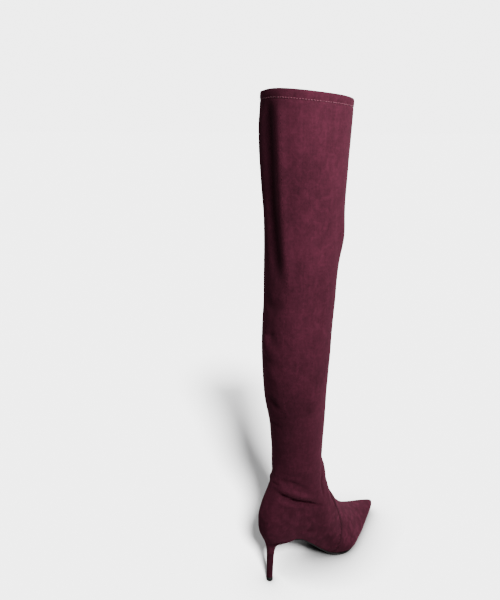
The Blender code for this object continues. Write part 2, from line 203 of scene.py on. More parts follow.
Seam = namedtuple("Seam", "along height")
SEAM = (
    Seam(0.430, -0.060),
    Seam(0.454, 0.050),
    Seam(0.479, 0.151),
    Seam(0.493, 0.221),
    Seam(0.504, 0.304),
    Seam(0.492, 0.403),
    Seam(0.464, 0.489),
    Seam(0.441, 0.568),
    Seam(0.423, 0.650),
    Seam(0.410, 0.735),
    Seam(0.400, 0.823),
    Seam(0.401, 0.926),
    Seam(0.425, 1.000),
)
# The vamp goes on this far under the leg's edge, and the rise where it has ended
SEAM_LAP = 0.004
VAMP_RISE = 9.6
# Above the ankle the seam runs off to the front at this slope, and below this height it can be cut
SEAM_END_SLOPE = 40
SEAM_TOP = 1.02 * ANKLE_LEVEL
# Points nearer to the seam than this lie on it
ON_SEAM = 1e-5
# Reach of the painted shade that lies along the seam, on the leg's edge and on the vamp beside it
LEG_SEAM_SHADE = 0.0005
VAMP_SEAM_SHADE = 0.0036
# How deep the leg's cut edge is tucked under past the vamp, and in which shares
EDGE_TUCK = 0.0004
TUCK_SHARES = (0.4, 0.6)
# How far the leg's folded edge is sunk, as a share of its radius, and how dark its far side is painted, a
# painted shade along the seam
FOLD_SUNK = 0.25
FOLD_SHADE = 0.92
FOLD_LEAD = 0.2
# Step from ring to ring of the folded edge, as a share of its radius
FOLD_SPACING = 1.5

Draw = namedtuple("Draw", "level breast back side")
DRAWS = (
    Draw(0.00, 0.00, 0.00, 0.00),
    Draw(0.02, 0.28, 0.05, 0.08),
    Draw(0.05, 0.70, 0.14, 0.38),
    Draw(0.09, 0.87, 0.26, 0.63),
    Draw(0.16, 0.94, 0.46, 0.81),
    Draw(0.30, 0.98, 0.73, 0.91),
    Draw(0.58, 0.99, 0.93, 0.97),
    Draw(1.00, 1.00, 1.00, 1.00),
)

# The soft rim hangs at these turns, by these widths and shares, felt so far below the collar
RIM_REACH = 0.045
Dip = namedtuple("Dip", "turn width share")
RIM_DIPS = (
    Dip(214, 30, 1.00),
    Dip(52, 26, 0.45),
)
# Angles round the rolled collar, and how far its outer edge is rounded off
RIM_ANGLES = (0, 35, 70, 110, 145, 180)
RIM_ROUNDING = 0.0010
RIM_TUCK = 0.0004

# Hem: width of the groove under its stitches, how far past them it swells and over what distance,
# and how far the thread stands out as a share of its radius
GROOVE_WIDTH = 0.0009
SWELL_PAST = 0.0004
SWELL_FADE = 0.002
THREAD_STANDING = 0.6
STITCH_SEED = 7

# Soft swells of the stretched suede: crossed waves, calmer on the foot
Wave = namedtuple("Wave", "x y z phase weight")
WAVES = (
    Wave(61, 47, 23, 0.4, 1.00),
    Wave(-38, 82, 41, 1.7, 0.80),
    Wave(97, -29, 67, 2.9, 0.50),
    Wave(29, 118, -88, 0.9, 0.45),
    Wave(-131, 71, 119, 4.1, 0.30),
    Wave(83, 149, -173, 5.3, 0.22),
)
WAVE_SHARE = 1 / 3
CALM_TOP = 0.09
CALM_FADE = 0.10
CALM_SHARE = 0.35

# Creases in the suede. Depth is in millimetres, a trough below 0 and a ridge above; width is in
# millimetres across; path is a row of (turn, rise). Fade is the share of the path over which each
# end dies out.
Crease = namedtuple("Crease", "name depth width fade path")
CREASES = (
    # Ankle, outer side: the main fold and the roll above it
    Crease("ankle_fold", -3.2, 5.5, 0.30,
           ((186, 6.42), (168, 6.22), (154, 5.98), (142, 5.73), (132, 5.57), (123, 5.61), (111, 5.95),
            (99, 6.49), (88, 7.00))),
    Crease("ankle_fold_floor", -3.0, 2.8, 0.35,
           ((176, 6.32), (164, 6.16), (152, 5.95), (142, 5.73), (132, 5.57), (122, 5.64), (111, 5.95),
            (102, 6.35))),
    Crease("ankle_roll", 2.8, 9.0, 0.35,
           ((184, 6.80), (168, 6.86), (154, 6.78), (142, 6.66), (132, 6.56), (120, 6.62), (107, 6.95),
            (94, 7.4))),
    Crease("below_fold", 1.3, 7.0, 0.40, ((176, 5.60), (158, 5.30), (142, 4.95), (126, 4.85), (108, 5.15))),
    Crease("upper_dip", -1.5, 6.0, 0.40,
           ((184, 7.6), (172, 7.75), (158, 7.95), (142, 8.1), (124, 8.1), (106, 8.0))),
    Crease("second_roll", 0.9, 9.0, 0.35, ((172, 8.5), (154, 8.7), (136, 8.8), (116, 8.8), (98, 8.7))),
    Crease("tuck", -1.6, 3.2, 0.45, ((190, 7.0), (181, 6.95), (172, 7.1), (162, 7.35))),
    Crease("counter_dent", -0.8, 9.0, 0.45, ((150, 4.6), (140, 4.0), (132, 3.5))),
    Crease("small_crease", -1.6, 4.0, 0.45, ((136, 1.2), (129, 1.45), (123, 1.9), (116, 2.6), (110, 3.1))),
    Crease("small_ridge", 0.9, 6.0, 0.45, ((136, 2.0), (128, 2.4), (120, 2.9), (112, 3.6))),
    Crease("front_fold", -1.5, 5.0, 0.45, ((61, 8.9), (67, 8.66), (74, 8.5), (80, 8.2), (84, 7.7))),
    Crease("instep_ridge", 2.4, 24.0, 0.40, ((18, 8.9), (36, 8.78), (54, 8.62), (70, 8.5))),
    Crease("vamp_ridge", 2.4, 26.0, 0.40, ((4, 8.0), (24, 8.0), (42, 7.95), (62, 7.8))),
    Crease("front_ridge", 1.0, 7.0, 0.45, ((54, 8.6), (59, 8.3), (65, 8.0), (71, 7.6))),
    # Ankle, inner side
    Crease("inner_fold", -2.6, 5.0, 0.32,
           ((198, 6.9), (212, 6.55), (226, 6.25), (240, 6.15), (254, 6.35), (268, 6.75))),
    Crease("inner_roll", 1.7, 9.0, 0.35, ((196, 7.4), (212, 7.2), (228, 7.0), (244, 7.0), (262, 7.4))),
    Crease("inner_upper", -0.9, 6.0, 0.40, ((200, 8.3), (218, 8.1), (236, 8.1), (256, 8.3))),
    Crease("inner_small", -1.2, 5.0, 0.45, ((232, 3.2), (242, 2.7), (252, 2.4), (262, 2.5))),
    # Behind the leg: dents of the stretched shaft and the bulges between them
    Crease("calf_dent", -2.0, 11.0, 0.45,
           ((198, 11.05), (188, 10.95), (178, 10.85), (168, 10.80), (158, 10.85))),
    Crease("calf_bulge", 1.6, 18.0, 0.45, ((196, 11.7), (184, 11.6), (170, 11.5), (156, 11.5))),
    Crease("calf_small", -1.1, 7.0, 0.45, ((200, 10.35), (188, 10.3), (174, 10.25), (160, 10.3))),
    Crease("knee_dent", -1.6, 14.0, 0.45,
           ((204, 12.95), (192, 12.85), (180, 12.75), (168, 12.8), (154, 12.9))),
    Crease("knee_bulge", 3.3, 30.0, 0.45, ((208, 12.15), (196, 12.1), (182, 12.1), (166, 12.15))),
    Crease("knee_fold", -1.5, 5.0, 0.45, ((196, 12.3), (187, 12.25), (178, 12.3), (170, 12.4))),
    Crease("knee_small", -1.1, 8.0, 0.45, ((214, 12.0), (200, 11.85), (184, 11.8), (170, 11.85))),
    # Long shallow channel up the back of the thigh, with a soft edge on either side
    Crease("back_channel", -3.0, 15.0, 0.16,
           ((192, 16.8), (186, 16.3), (183, 15.6), (182, 15.0), (181, 14.5), (179, 14.05), (174, 13.6),
            (170, 13.1))),
    Crease("back_edge", 2.2, 13.0, 0.20,
           ((170, 16.8), (167, 16.3), (166, 15.6), (165, 15.0), (164, 14.5), (161, 14.0), (156, 13.5),
            (152, 13.0))),
    Crease("inner_edge", 1.6, 18.0, 0.22,
           ((207, 16.5), (205, 15.8), (202, 15.0), (198, 14.2), (194, 13.4))),
    Crease("inner_channel", -1.0, 24.0, 0.30, ((238, 16.0), (240, 15.0), (242, 14.0), (240, 13.0))),
    Crease("knee_cap", 3.4, 46.0, 0.40, ((20, 14.0), (38, 14.02), (56, 14.0), (74, 13.95))),
    Crease("thigh_wave", -0.6, 26.0, 0.45, ((100, 15.3), (118, 15.1), (136, 15.0), (152, 15.1))),
    Crease("shin_wave", -0.6, 22.0, 0.45, ((72, 11.8), (86, 11.6), (104, 11.5), (124, 11.6))),
    # Pucker of the hem
    Crease("hem_pucker_a", -0.7, 5.0, 0.40, ((152, 16.95), (150, 16.80), (149, 16.60))),
    Crease("hem_pucker_b", -0.6, 4.5, 0.40, ((128, 16.95), (129, 16.80), (131, 16.60))),
    Crease("hem_pucker_c", -0.8, 5.0, 0.40, ((82, 16.96), (80, 16.80), (79, 16.55))),
    Crease("hem_pucker_d", -0.6, 5.0, 0.40, ((104, 16.95), (106, 16.82), (107, 16.62))),
    Crease("hem_pucker_e", -0.6, 5.0, 0.40, ((262, 16.95), (264, 16.80), (265, 16.60))),
    Crease("hem_roll", 0.8, 7.0, 0.40, ((96, 16.93), (92, 16.86), (88, 16.84), (82, 16.86))),
)
# How strongly the bottom of a crease is painted darker, a painted shade, and the depth in
# millimetres at which that is full
CREASE_SHADE = 0.74
FULL_SHADE_DEPTH = 3.4
# The most that the painted shade may darken the suede
MOST_PAINTED_SHADE = 0.95
# A crease is felt this many widths away
CREASE_REACH = 3
# Below this height the nap is more worn, and the height over which that fades
FOOT_TOP = 0.085
FOOT_FADE = 0.070

# Streaks painted darker, a painted shade of the shaft's side turned from the light and of its dents, and
# patches painted darker: strength as a share, width in millimetres, fade, path
PAINTED_SHADE_STREAKS = (
    Crease("back_streak", 0.80, 9.5, 0.20,
           ((189, 16.75), (182, 16.3), (179, 15.6), (178, 15.0), (178, 14.6), (176, 14.1), (172, 13.75),
            (168, 13.45), (165, 13.1))),
    Crease("left_streak", 0.40, 16.0, 0.20,
           ((203, 16.8), (201, 16.3), (200, 15.4), (197, 14.6), (197, 13.9), (196, 13.2))),
    Crease("knee_streak", 0.50, 8.0, 0.45, ((190, 12.5), (181, 12.35), (174, 12.2), (170, 11.9))),
    Crease("calf_streak", 0.45, 8.0, 0.45, ((186, 11.15), (180, 10.95), (175, 10.8), (171, 10.6))),
    Crease("shin_patch", 0.28, 12.0, 0.45, ((112, 11.1), (108, 10.8), (104, 10.5))),
    Crease("calf_patch", 0.22, 42.0, 0.40, ((156, 11.0), (138, 10.95), (118, 10.9), (96, 10.9))),
    Crease("inner_streak", 0.35, 16.0, 0.25, ((240, 16.4), (242, 15.4), (243, 14.4), (242, 13.4))),
)


def length(name, description, default, digits=4):
    """A settable length."""
    return FloatProperty(name=name, description=description, default=default, unit="LENGTH", precision=digits)


def colour(name, description, default):
    """A settable colour."""
    return FloatVectorProperty(name=name, description=description, default=default, subtype="COLOR", size=3)


class BootSizes(bpy.types.PropertyGroup):
    """Sizes of the boot's seams, hem and creases"""
    wall: length("Wall", "Thickness of suede and lining together", 0.0016)
    seam_step: length("Seam step", "How far the leg's edge stands over the vamp", 0.0004)
    fold_radius: length("Fold radius", "Half the thickness of the leg's folded edge", 0.00062, 5)
    hem_depth: length("Hem depth", "Distance of the stitches below the collar", 0.0080)
    hem_groove: length("Hem groove", "How far the stitches pull the suede in", 0.0005)
    hem_swell: length("Hem swell", "How far the doubled hem stands proud", 0.0003)
    rim_dip: length("Rim dip", "How far the soft rim hangs at its lowest places", 0.0038)
    rim_lift: length("Rim lift", "How far the rim stands up between its dips", 0.0013)
    drape: length("Drape", "Height of the soft swells all over the shaft", 0.0005)
    stitch_spacing: length("Stitch spacing", "Distance from stitch to stitch", 0.0030)
    stitch_length: length("Stitch length", "Length of thread that shows", 0.0023)
    thread_radius: length("Thread radius", "Half the thread's thickness", 0.00042, 5)
    crease_strength: FloatProperty(name="Crease strength", description="Scale of all placed creases",
                                   default=1.0, subtype="FACTOR")


class BootColours(bpy.types.PropertyGroup):
    """Colours of the boot's materials"""
    suede: colour("Suede", "Colour of the nap where it lies flat", (0.066, 0.0110, 0.0242))
    suede_raised: colour("Raised nap", "Colour of the nap brushed up", (0.114, 0.0196, 0.0418))
    suede_deep: colour("Deep nap", "Colour of darker blotches", (0.033, 0.0054, 0.0122))
    thread: colour("Thread", "Colour of the hem's thread", (0.27, 0.070, 0.115))
    lining: colour("Lining", "Colour of the knitted lining", (0.030, 0.014, 0.019))
    sole: colour("Sole", "Colour of the leather outsole", (0.016, 0.013, 0.014))
    tip: colour("Heel tip", "Colour of the heel tip's rubber", (0.014, 0.014, 0.014))
    floor: colour("Floor", "Colour of the floor", (0.86, 0.86, 0.86))


# Form


def curve(stations, values, where):
    """Smooth curve through the stations that never overshoots them."""
    stations = np.asarray(stations, float)
    values = np.asarray(values, float)
    where = np.asarray(where, float)
    widths = np.diff(stations)
    slopes = np.diff(values) / widths
    ends = np.empty(len(stations))
    ends[0] = slopes[0]
    ends[-1] = slopes[-1]
    for i in range(1, len(stations) - 1):
        before, after = slopes[i - 1], slopes[i]
        if before * after <= 0:
            ends[i] = 0.0
        else:
            near = 2 * widths[i] + widths[i - 1]
            far = widths[i] + 2 * widths[i - 1]
            ends[i] = (near + far) / (near / before + far / after)
    k = np.clip(np.searchsorted(stations, where) - 1, 0, len(stations) - 2)
    t = np.clip((where - stations[k]) / widths[k], 0, 1)
    start = (2 * t**3 - 3 * t**2 + 1) * values[k] + (t**3 - 2 * t**2 + t) * widths[k] * ends[k]
    finish = (-2 * t**3 + 3 * t**2) * values[k + 1] + (t**3 - t**2) * widths[k] * ends[k + 1]
    return start + finish


def smooth(share):
    """Soft step from 0 to 1."""
    return share * share * (3 - 2 * share)


def column_of(rows, name):
    """One named column of a table."""
    return [getattr(row, name) for row in rows]


def underside(along):
    """Height of the upper's lower edge at a distance along the foot."""
    low = SOLE_THICKNESS + GAP
    rise = curve(column_of(FEATHER, "along"), column_of(FEATHER, "rise"), along / SHOE_LENGTH)
    return low + (HEEL_HEIGHT - low) * rise


def centre_line(along):
    """Sideways place of the foot's centre, positive towards the outer side."""
    share = np.clip(along / SHOE_LENGTH, 0, 1)
    waist = curve(column_of(BENDS, "along"), column_of(BENDS, "waist"), share)
    toe = curve(column_of(BENDS, "along"), column_of(BENDS, "toe"), share)
    return WAIST_SWING * waist - TOE_SWING * toe


Ring = namedtuple("Ring", "front front_z back back_z upright "
                          "cup seat waist forewaist ball tread fore toe "
                          "around point square")


def foot_ring(row):
    """A row of the foot's table with its shares turned into lengths."""
    front = row.front * SHOE_LENGTH
    back = row.back * SHOE_LENGTH
    cup = CUP_WIDTH / 2
    ball = BALL_WIDTH / 2
    return Ring(front, float(underside(front)) + row.front_rise * ANKLE_RISE,
                back, float(underside(back)) + row.back_rise * ANKLE_RISE, row.upright,
                row.cup * cup, row.seat * cup, row.waist * ball, row.forewaist * ball,
                row.ball * ball, row.tread * ball, row.fore * ball, row.toe * ball,
                ANKLE_WIDTH / 2, row.point, row.square)


def leg_ring(row):
    """A row of the leg's table with its shares turned into lengths."""
    height = ANKLE_LEVEL + (BOOT_HEIGHT - ANKLE_LEVEL) * row.height
    middle = ANKLE_CENTRE * row.centre
    length = (ANKLE_LENGTH + (COLLAR_LENGTH - ANKLE_LENGTH) * row.fullness) / 2
    width = (ANKLE_WIDTH + (COLLAR_WIDTH - ANKLE_WIDTH) * row.fullness) / 2
    drop = COLLAR_FRONT_DROP * row.height**4
    return Ring(middle + length, height - drop, middle - length, height + drop, 1.0,
                *[width] * len(WIDTH_AT), width, LEG_POINT, LEG_POINT)


TABLE_RINGS = np.array([foot_ring(row) for row in FOOT] + [leg_ring(row) for row in LEG], float)
LAST_RISE = len(TABLE_RINGS) - 1


def ring_at(rise):
    """The ring at a place between the tables' rows."""
    index = np.arange(len(TABLE_RINGS))
    return Ring(*[float(curve(index, TABLE_RINGS[:, c], rise)) for c in range(TABLE_RINGS.shape[1])])


def even_rises(low, high):
    """Rises from low to high that lie about one ring spacing apart."""
    fine = np.linspace(0, LAST_RISE, FINE_RISES * LAST_RISE + 1)
    rings = [ring_at(rise) for rise in fine]
    front = np.array([(ring.front, ring.front_z) for ring in rings])
    back = np.array([(ring.back, ring.back_z) for ring in rings])
    middle = (front + back) / 2
    steps = np.maximum(np.linalg.norm(np.diff(back, axis=0), axis=1),
                       np.linalg.norm(np.diff(middle, axis=0), axis=1))
    reach = np.concatenate([[0], np.cumsum(steps)])
    start, end = np.interp([low, high], fine, reach)
    count = max(int(round((end - start) / RING_SPACING)), 2)
    return np.interp(np.linspace(start, end, count + 1), reach, fine)


def column_angles(count=COLUMNS):
    """Angles round a ring, crowded together along the sides, where the foot is long."""
    turn = np.arange(count) / count
    return 2 * math.pi * turn + SIDE_CROWDING / 2 * np.sin(4 * math.pi * turn)


def ring_points(ring, angles):
    """Points of one ring in the row's frame."""
    share = (1 - np.cos(angles)) / 2
    along = ring.front + (ring.back - ring.front) * share
    front_rise = ring.front_z - underside(ring.front)
    back_rise = ring.back_z - underside(ring.back)
    following = underside(along) + front_rise + (back_rise - front_rise) * share
    level = ring.front_z + (ring.back_z - ring.front_z) * share
    height = ring.upright * level + (1 - ring.upright) * following
    foot = curve(WIDTH_AT, ring[5:13], np.clip(along / SHOE_LENGTH, 0, 1))
    half = ring.upright * ring.around + (1 - ring.upright) * foot
    ends = ring.point + (ring.square - ring.point) * smooth(share)
    side = np.sin(angles)
    sideways = np.sign(side) * half * np.abs(side)**ends
    way_up = np.clip((ring.front_z - ANKLE_LEVEL) / (BOOT_HEIGHT - ANKLE_LEVEL), 0, 1)
    height = height - COLLAR_SIDE_DROP * way_up**4 * sideways / ring.around
    centre = centre_line(along) * (1 - ring.upright)
    return np.stack([-(centre + sideways), Y_BACK - along, height], -1)


def boot_normals(grid):
    """Outward directions of a grid of rings by columns."""
    around = np.roll(grid, -1, axis=1) - np.roll(grid, 1, axis=1)
    up = np.gradient(grid, axis=0)
    normal = np.cross(up, around)
    normal /= np.maximum(np.linalg.norm(normal, axis=2, keepdims=True), 1e-12)
    centre = grid.mean(axis=1, keepdims=True)
    outward = np.sum(normal * (grid - centre), axis=2).sum()
    return normal if outward > 0 else -normal


@lru_cache(maxsize=None)
def crease_points(path):
    """Points of a crease's path on the undented surface, and each one's share of the way."""
    turns = np.array([turn for turn, rise in path], float)
    rises = np.array([rise for turn, rise in path], float)
    index = np.arange(len(path))
    where = np.linspace(0, len(path) - 1, CREASE_STEPS * (len(path) - 1) + 1)
    turns = curve(index, turns, where)
    rises = curve(index, rises, where)
    points = [ring_points(ring_at(rise), np.radians([turn]))[0] for turn, rise in zip(turns, rises)]
    return np.array(points), where / where[-1]


def crease_sum(points, creases):
    """Depths of all creases together at points of the surface."""
    total = np.zeros(len(points))
    for crease in creases:
        path, share = crease_points(crease.path)
        reach = CREASE_REACH * crease.width / 1000
        low, high = path.min(0) - reach, path.max(0) + reach
        near = np.where(((points > low) & (points < high)).all(1))[0]
        if not len(near):
            continue
        starts, ends = path[:-1], path[1:]
        run = ends - starts
        best = np.full(len(near), 1e9)
        place = np.zeros(len(near))
        for k in range(len(run)):
            gap = points[near] - starts[k]
            t = np.clip(gap @ run[k] / (run[k] @ run[k]), 0, 1)
            distance = np.linalg.norm(gap - t[:, None] * run[k], axis=1)
            closer = distance < best
            best[closer] = distance[closer]
            place[closer] = (share[k] + (share[k + 1] - share[k]) * t)[closer]
        fade = smooth(np.clip(np.minimum(place, 1 - place) / crease.fade, 0, 1))
        across = best / (crease.width / 2000)
        total[near] += crease.depth * fade * np.exp(-across**2)
    return total


def crease_heights(points):
    """Height of all creases together at points of the surface, in metres."""
    return crease_sum(points, CREASES) / 1000


def painted_shade_share(points, sizes, seam_reach):
    """How dark the suede is painted at points of the surface: painted shade in creases, in the dark streaks
    and along the vamp seam.
    """
    # Painted shade at the bottom of each crease, and in a band along the vamp seam
    depth = np.clip(-crease_sum(points, CREASES) / FULL_SHADE_DEPTH, 0, 1)
    painted_crease_shade = depth * CREASE_SHADE * sizes.crease_strength
    # Painted shade of the dark streaks and patches
    painted_streaks = np.clip(crease_sum(points, PAINTED_SHADE_STREAKS), 0, 1)
    seam = MOST_PAINTED_SHADE * np.exp(-(seam_side(points) / seam_reach)**4) * (points[:, 2] < ANKLE_LEVEL)
    return np.clip(1 - (1 - painted_crease_shade) * (1 - painted_streaks) * (1 - seam), 0, MOST_PAINTED_SHADE)


def drape_heights(points):
    """Soft swells of the stretched suede."""
    x, y, z = points.T
    total = np.zeros(len(points))
    for wave in WAVES:
        total += wave.weight * np.sin(wave.x * x + wave.y * y + wave.z * z + wave.phase)
    calm = smooth(np.clip((z - CALM_TOP) / CALM_FADE, 0, 1))
    return total * WAVE_SHARE * (CALM_SHARE + (1 - CALM_SHARE) * calm)


def below_collar(grid):
    """Distance of each ring below the collar, along the surface."""
    steps = np.linalg.norm(np.diff(grid, axis=0), axis=2).mean(1)
    return np.concatenate([np.cumsum(steps[::-1])[::-1], [0.0]])


def hem_profile(drop, sizes):
    """How far the surface stands out near the collar, by the distance below its edge."""
    groove = np.exp(-((drop - sizes.hem_depth) / GROOVE_WIDTH)**2)
    inside = smooth(np.clip((sizes.hem_depth + SWELL_PAST - drop) / SWELL_FADE, 0, 1))
    rounded = np.clip(1 - drop / RIM_ROUNDING, 0, 1)**2
    return sizes.hem_swell * inside - sizes.hem_groove * groove - RIM_TUCK * rounded


def rim_drop(turns, sizes):
    """How far the soft rim hangs at each turn."""
    hang = sum(dip.share * np.exp(-((turns - dip.turn) / dip.width)**2) for dip in RIM_DIPS)
    return sizes.rim_dip * hang - sizes.rim_lift


def shaft_grid(low_rise, high_rise, sizes, inset=0.0):
    """Grid of the upper's outer surface with its drape and creases, and its outward directions."""
    rises = even_rises(low_rise, high_rise)
    angles = column_angles()
    plain = np.stack([ring_points(ring_at(rise), angles) for rise in rises])
    normal = boot_normals(plain)
    flat = plain.reshape(-1, 3)
    lift = crease_heights(flat) * sizes.crease_strength + drape_heights(flat) * sizes.drape
    lift = lift.reshape(plain.shape[:2])
    grid = plain + normal * (lift - inset)[..., None]
    hang = np.clip((grid[..., 2] - BOOT_HEIGHT + RIM_REACH) / RIM_REACH, 0, 1)**2
    grid[..., 2] -= hang * rim_drop(np.degrees(angles), sizes)
    return grid, normal


# Meshes


def add_mesh(name, points, faces):
    """Object of that name with its own mesh, shaded smooth."""
    mesh = bpy.data.meshes.new(name)
    mesh.from_pydata([tuple(point) for point in points], [], [tuple(face) for face in faces])
    mesh.validate()
    mesh.shade_smooth()
    piece = bpy.data.objects.new(name, mesh)
    bpy.context.scene.collection.objects.link(piece)
    return piece


def face_outwards(piece):
    """Turns the faces of a mesh to point out."""
    shell = bmesh.new()
    shell.from_mesh(piece.data)
    bmesh.ops.recalc_face_normals(shell, faces=shell.faces)
    shell.to_mesh(piece.data)
    shell.free()


def grid_faces(rows, columns, start=0):
    """Faces of a closed tube of rings, all turned outwards."""
    i = np.arange(rows - 1)[:, None] * columns + start
    j = np.arange(columns)[None, :]
    k = (j + 1) % columns
    return np.stack([i + j, i + columns + j, i + columns + k, i + k], -1).reshape(-1, 4)


def seam_side(points):
    """Distance ahead of the vamp seam in the side view, above 0 on the vamp."""
    heights = np.array(column_of(SEAM, "height")) * ANKLE_LEVEL
    alongs = np.array(column_of(SEAM, "along")) * SHOE_LENGTH
    along = Y_BACK - points[:, 1]
    edge = curve(heights, alongs, np.clip(points[:, 2], heights[0], heights[-1]))
    past = np.clip(points[:, 2] - heights[-1], 0, None)
    return along - edge - SEAM_END_SLOPE * past


def on_seam(vert):
    """Whether a point of the cut leg lies on the vamp seam."""
    return vert.co.z < SEAM_TOP and abs(seam_side(np.array([vert.co]))[0]) < ON_SEAM


def clip_faces(points, faces, field, keep_below):
    """Cuts quads along the line where the field is 0, and keeps one side of it."""
    points = list(points)
    field = list(field if keep_below else -np.asarray(field))
    kept = []
    cuts = {}

    def cut(a, b):
        key = (min(a, b), max(a, b))
        if key not in cuts:
            t = field[a] / (field[a] - field[b])
            cuts[key] = len(points)
            points.append(points[a] + (points[b] - points[a]) * t)
            field.append(0.0)
        return cuts[key]

    for face in faces:
        inside = [field[v] < 0 for v in face]
        if all(inside):
            kept.append(tuple(face))
        elif any(inside):
            ring = []
            for n in range(len(face)):
                a, b = face[n], face[(n + 1) % len(face)]
                if inside[n]:
                    ring.append(a)
                if inside[n] != inside[(n + 1) % len(face)]:
                    ring.append(cut(a, b))
            if len(ring) >= 3:
                kept.append(tuple(ring))
    used = sorted({v for face in kept for v in face})
    number = {v: n for n, v in enumerate(used)}
    return np.array([points[v] for v in used]), [tuple(number[v] for v in face) for face in kept]


def write_painted_shade(piece, shares):
    """Stores the share of painted shade at each point of the mesh."""
    layer = piece.data.attributes.new("crushed", "FLOAT", "POINT")
    layer.data.foreach_set("value", np.asarray(shares, np.float32))


def seam_edges(shell):
    """Open edges of the leg that lie on the vamp seam."""
    return [edge for edge in shell.edges if edge.is_boundary and all(on_seam(v) for v in edge.verts)]


def turn_edge_under(piece, depth):
    """Rolls the leg's cut edge under itself along the seam."""
    shell = bmesh.new()
    shell.from_mesh(piece.data)
    shell.normal_update()
    border = seam_edges(shell)
    for share in TUCK_SHARES:
        grown = bmesh.ops.extrude_edge_only(shell, edges=border)
        fresh = [item for item in grown["geom"] if isinstance(item, bmesh.types.BMVert)]
        normals = {}
        for vert in fresh:
            older = [edge.other_vert(vert) for edge in vert.link_edges]
            older = [other for other in older if other not in fresh]
            normals[vert] = older[0].normal.copy() if older else vert.normal.copy()
        for vert in fresh:
            vert.co -= normals[vert] * depth * share
        border = [item for item in grown["geom"] if isinstance(item, bmesh.types.BMEdge)]
        shell.normal_update()
    shell.to_mesh(piece.data)
    shell.free()


def paint(piece, *materials):
    """Gives a piece its materials in order."""
    piece.data.materials.clear()
    for material in materials:
        piece.data.materials.append(material)


def settle(piece, slot, *stands_for):
    """Fixes a finished piece to the boot's body and hides the solids that it stands for; the slot is not
    used.
    """
    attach(piece, "root")
    if stands_for:
        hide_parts(*stands_for)
    return piece


def edge_half(along):
    """Half the width of the upper's lower edge at a distance along the foot."""
    ring = foot_ring(FOOT[0])
    share = np.clip((ring.front - along) / (ring.front - ring.back), 0, 1)
    foot = curve(WIDTH_AT, ring[5:13], along / SHOE_LENGTH)
    ends = ring.point + (ring.square - ring.point) * smooth(share)
    return foot * (2 * np.sqrt(share * (1 - share)))**ends


def offset_half(along, outset):
    """The lower edge's half width with its outline moved outwards."""
    reach = SHOE_LENGTH / 500
    slope = (edge_half(along + reach) - edge_half(along - reach)) / (2 * reach)
    return edge_half(along) + outset * np.sqrt(1 + slope**2)


Level = namedtuple("Level", "tip_along along centre half tip_height height")


def levels_mesh(levels):
    """Closed solid through the levels, from the top one down; each has a tip and pairs of points."""
    points = []
    pairs = len(levels[0].along)
    count = 2 * pairs + 1
    for level in levels:
        points.append((-float(centre_line(level.tip_along)), Y_BACK - level.tip_along, level.tip_height))
        for side in (1, -1):
            for along, centre, half, height in zip(level.along, level.centre, level.half, level.height):
                points.append((-(centre + side * half), Y_BACK - along, height))
    faces = []
    for k, flip in ((0, False), (len(levels) - 1, True)):
        outer = [k * count + 1 + i for i in range(pairs)]
        inner = [k * count + 1 + pairs + i for i in range(pairs)]
        cap = [(k * count, outer[0], inner[0])]
        cap += [(outer[i], outer[i + 1], inner[i + 1], inner[i]) for i in range(pairs - 1)]
        faces += [face[::-1] if flip else face for face in cap]
    loop = [0] + list(range(1, pairs + 1)) + list(range(2 * pairs, pairs, -1))
    for k in range(len(levels) - 1):
        for i in range(count):
            a, b = loop[i], loop[(i + 1) % count]
            faces.append((k * count + a, (k + 1) * count + a, (k + 1) * count + b, k * count + b))
    return np.array(points), faces


# Materials


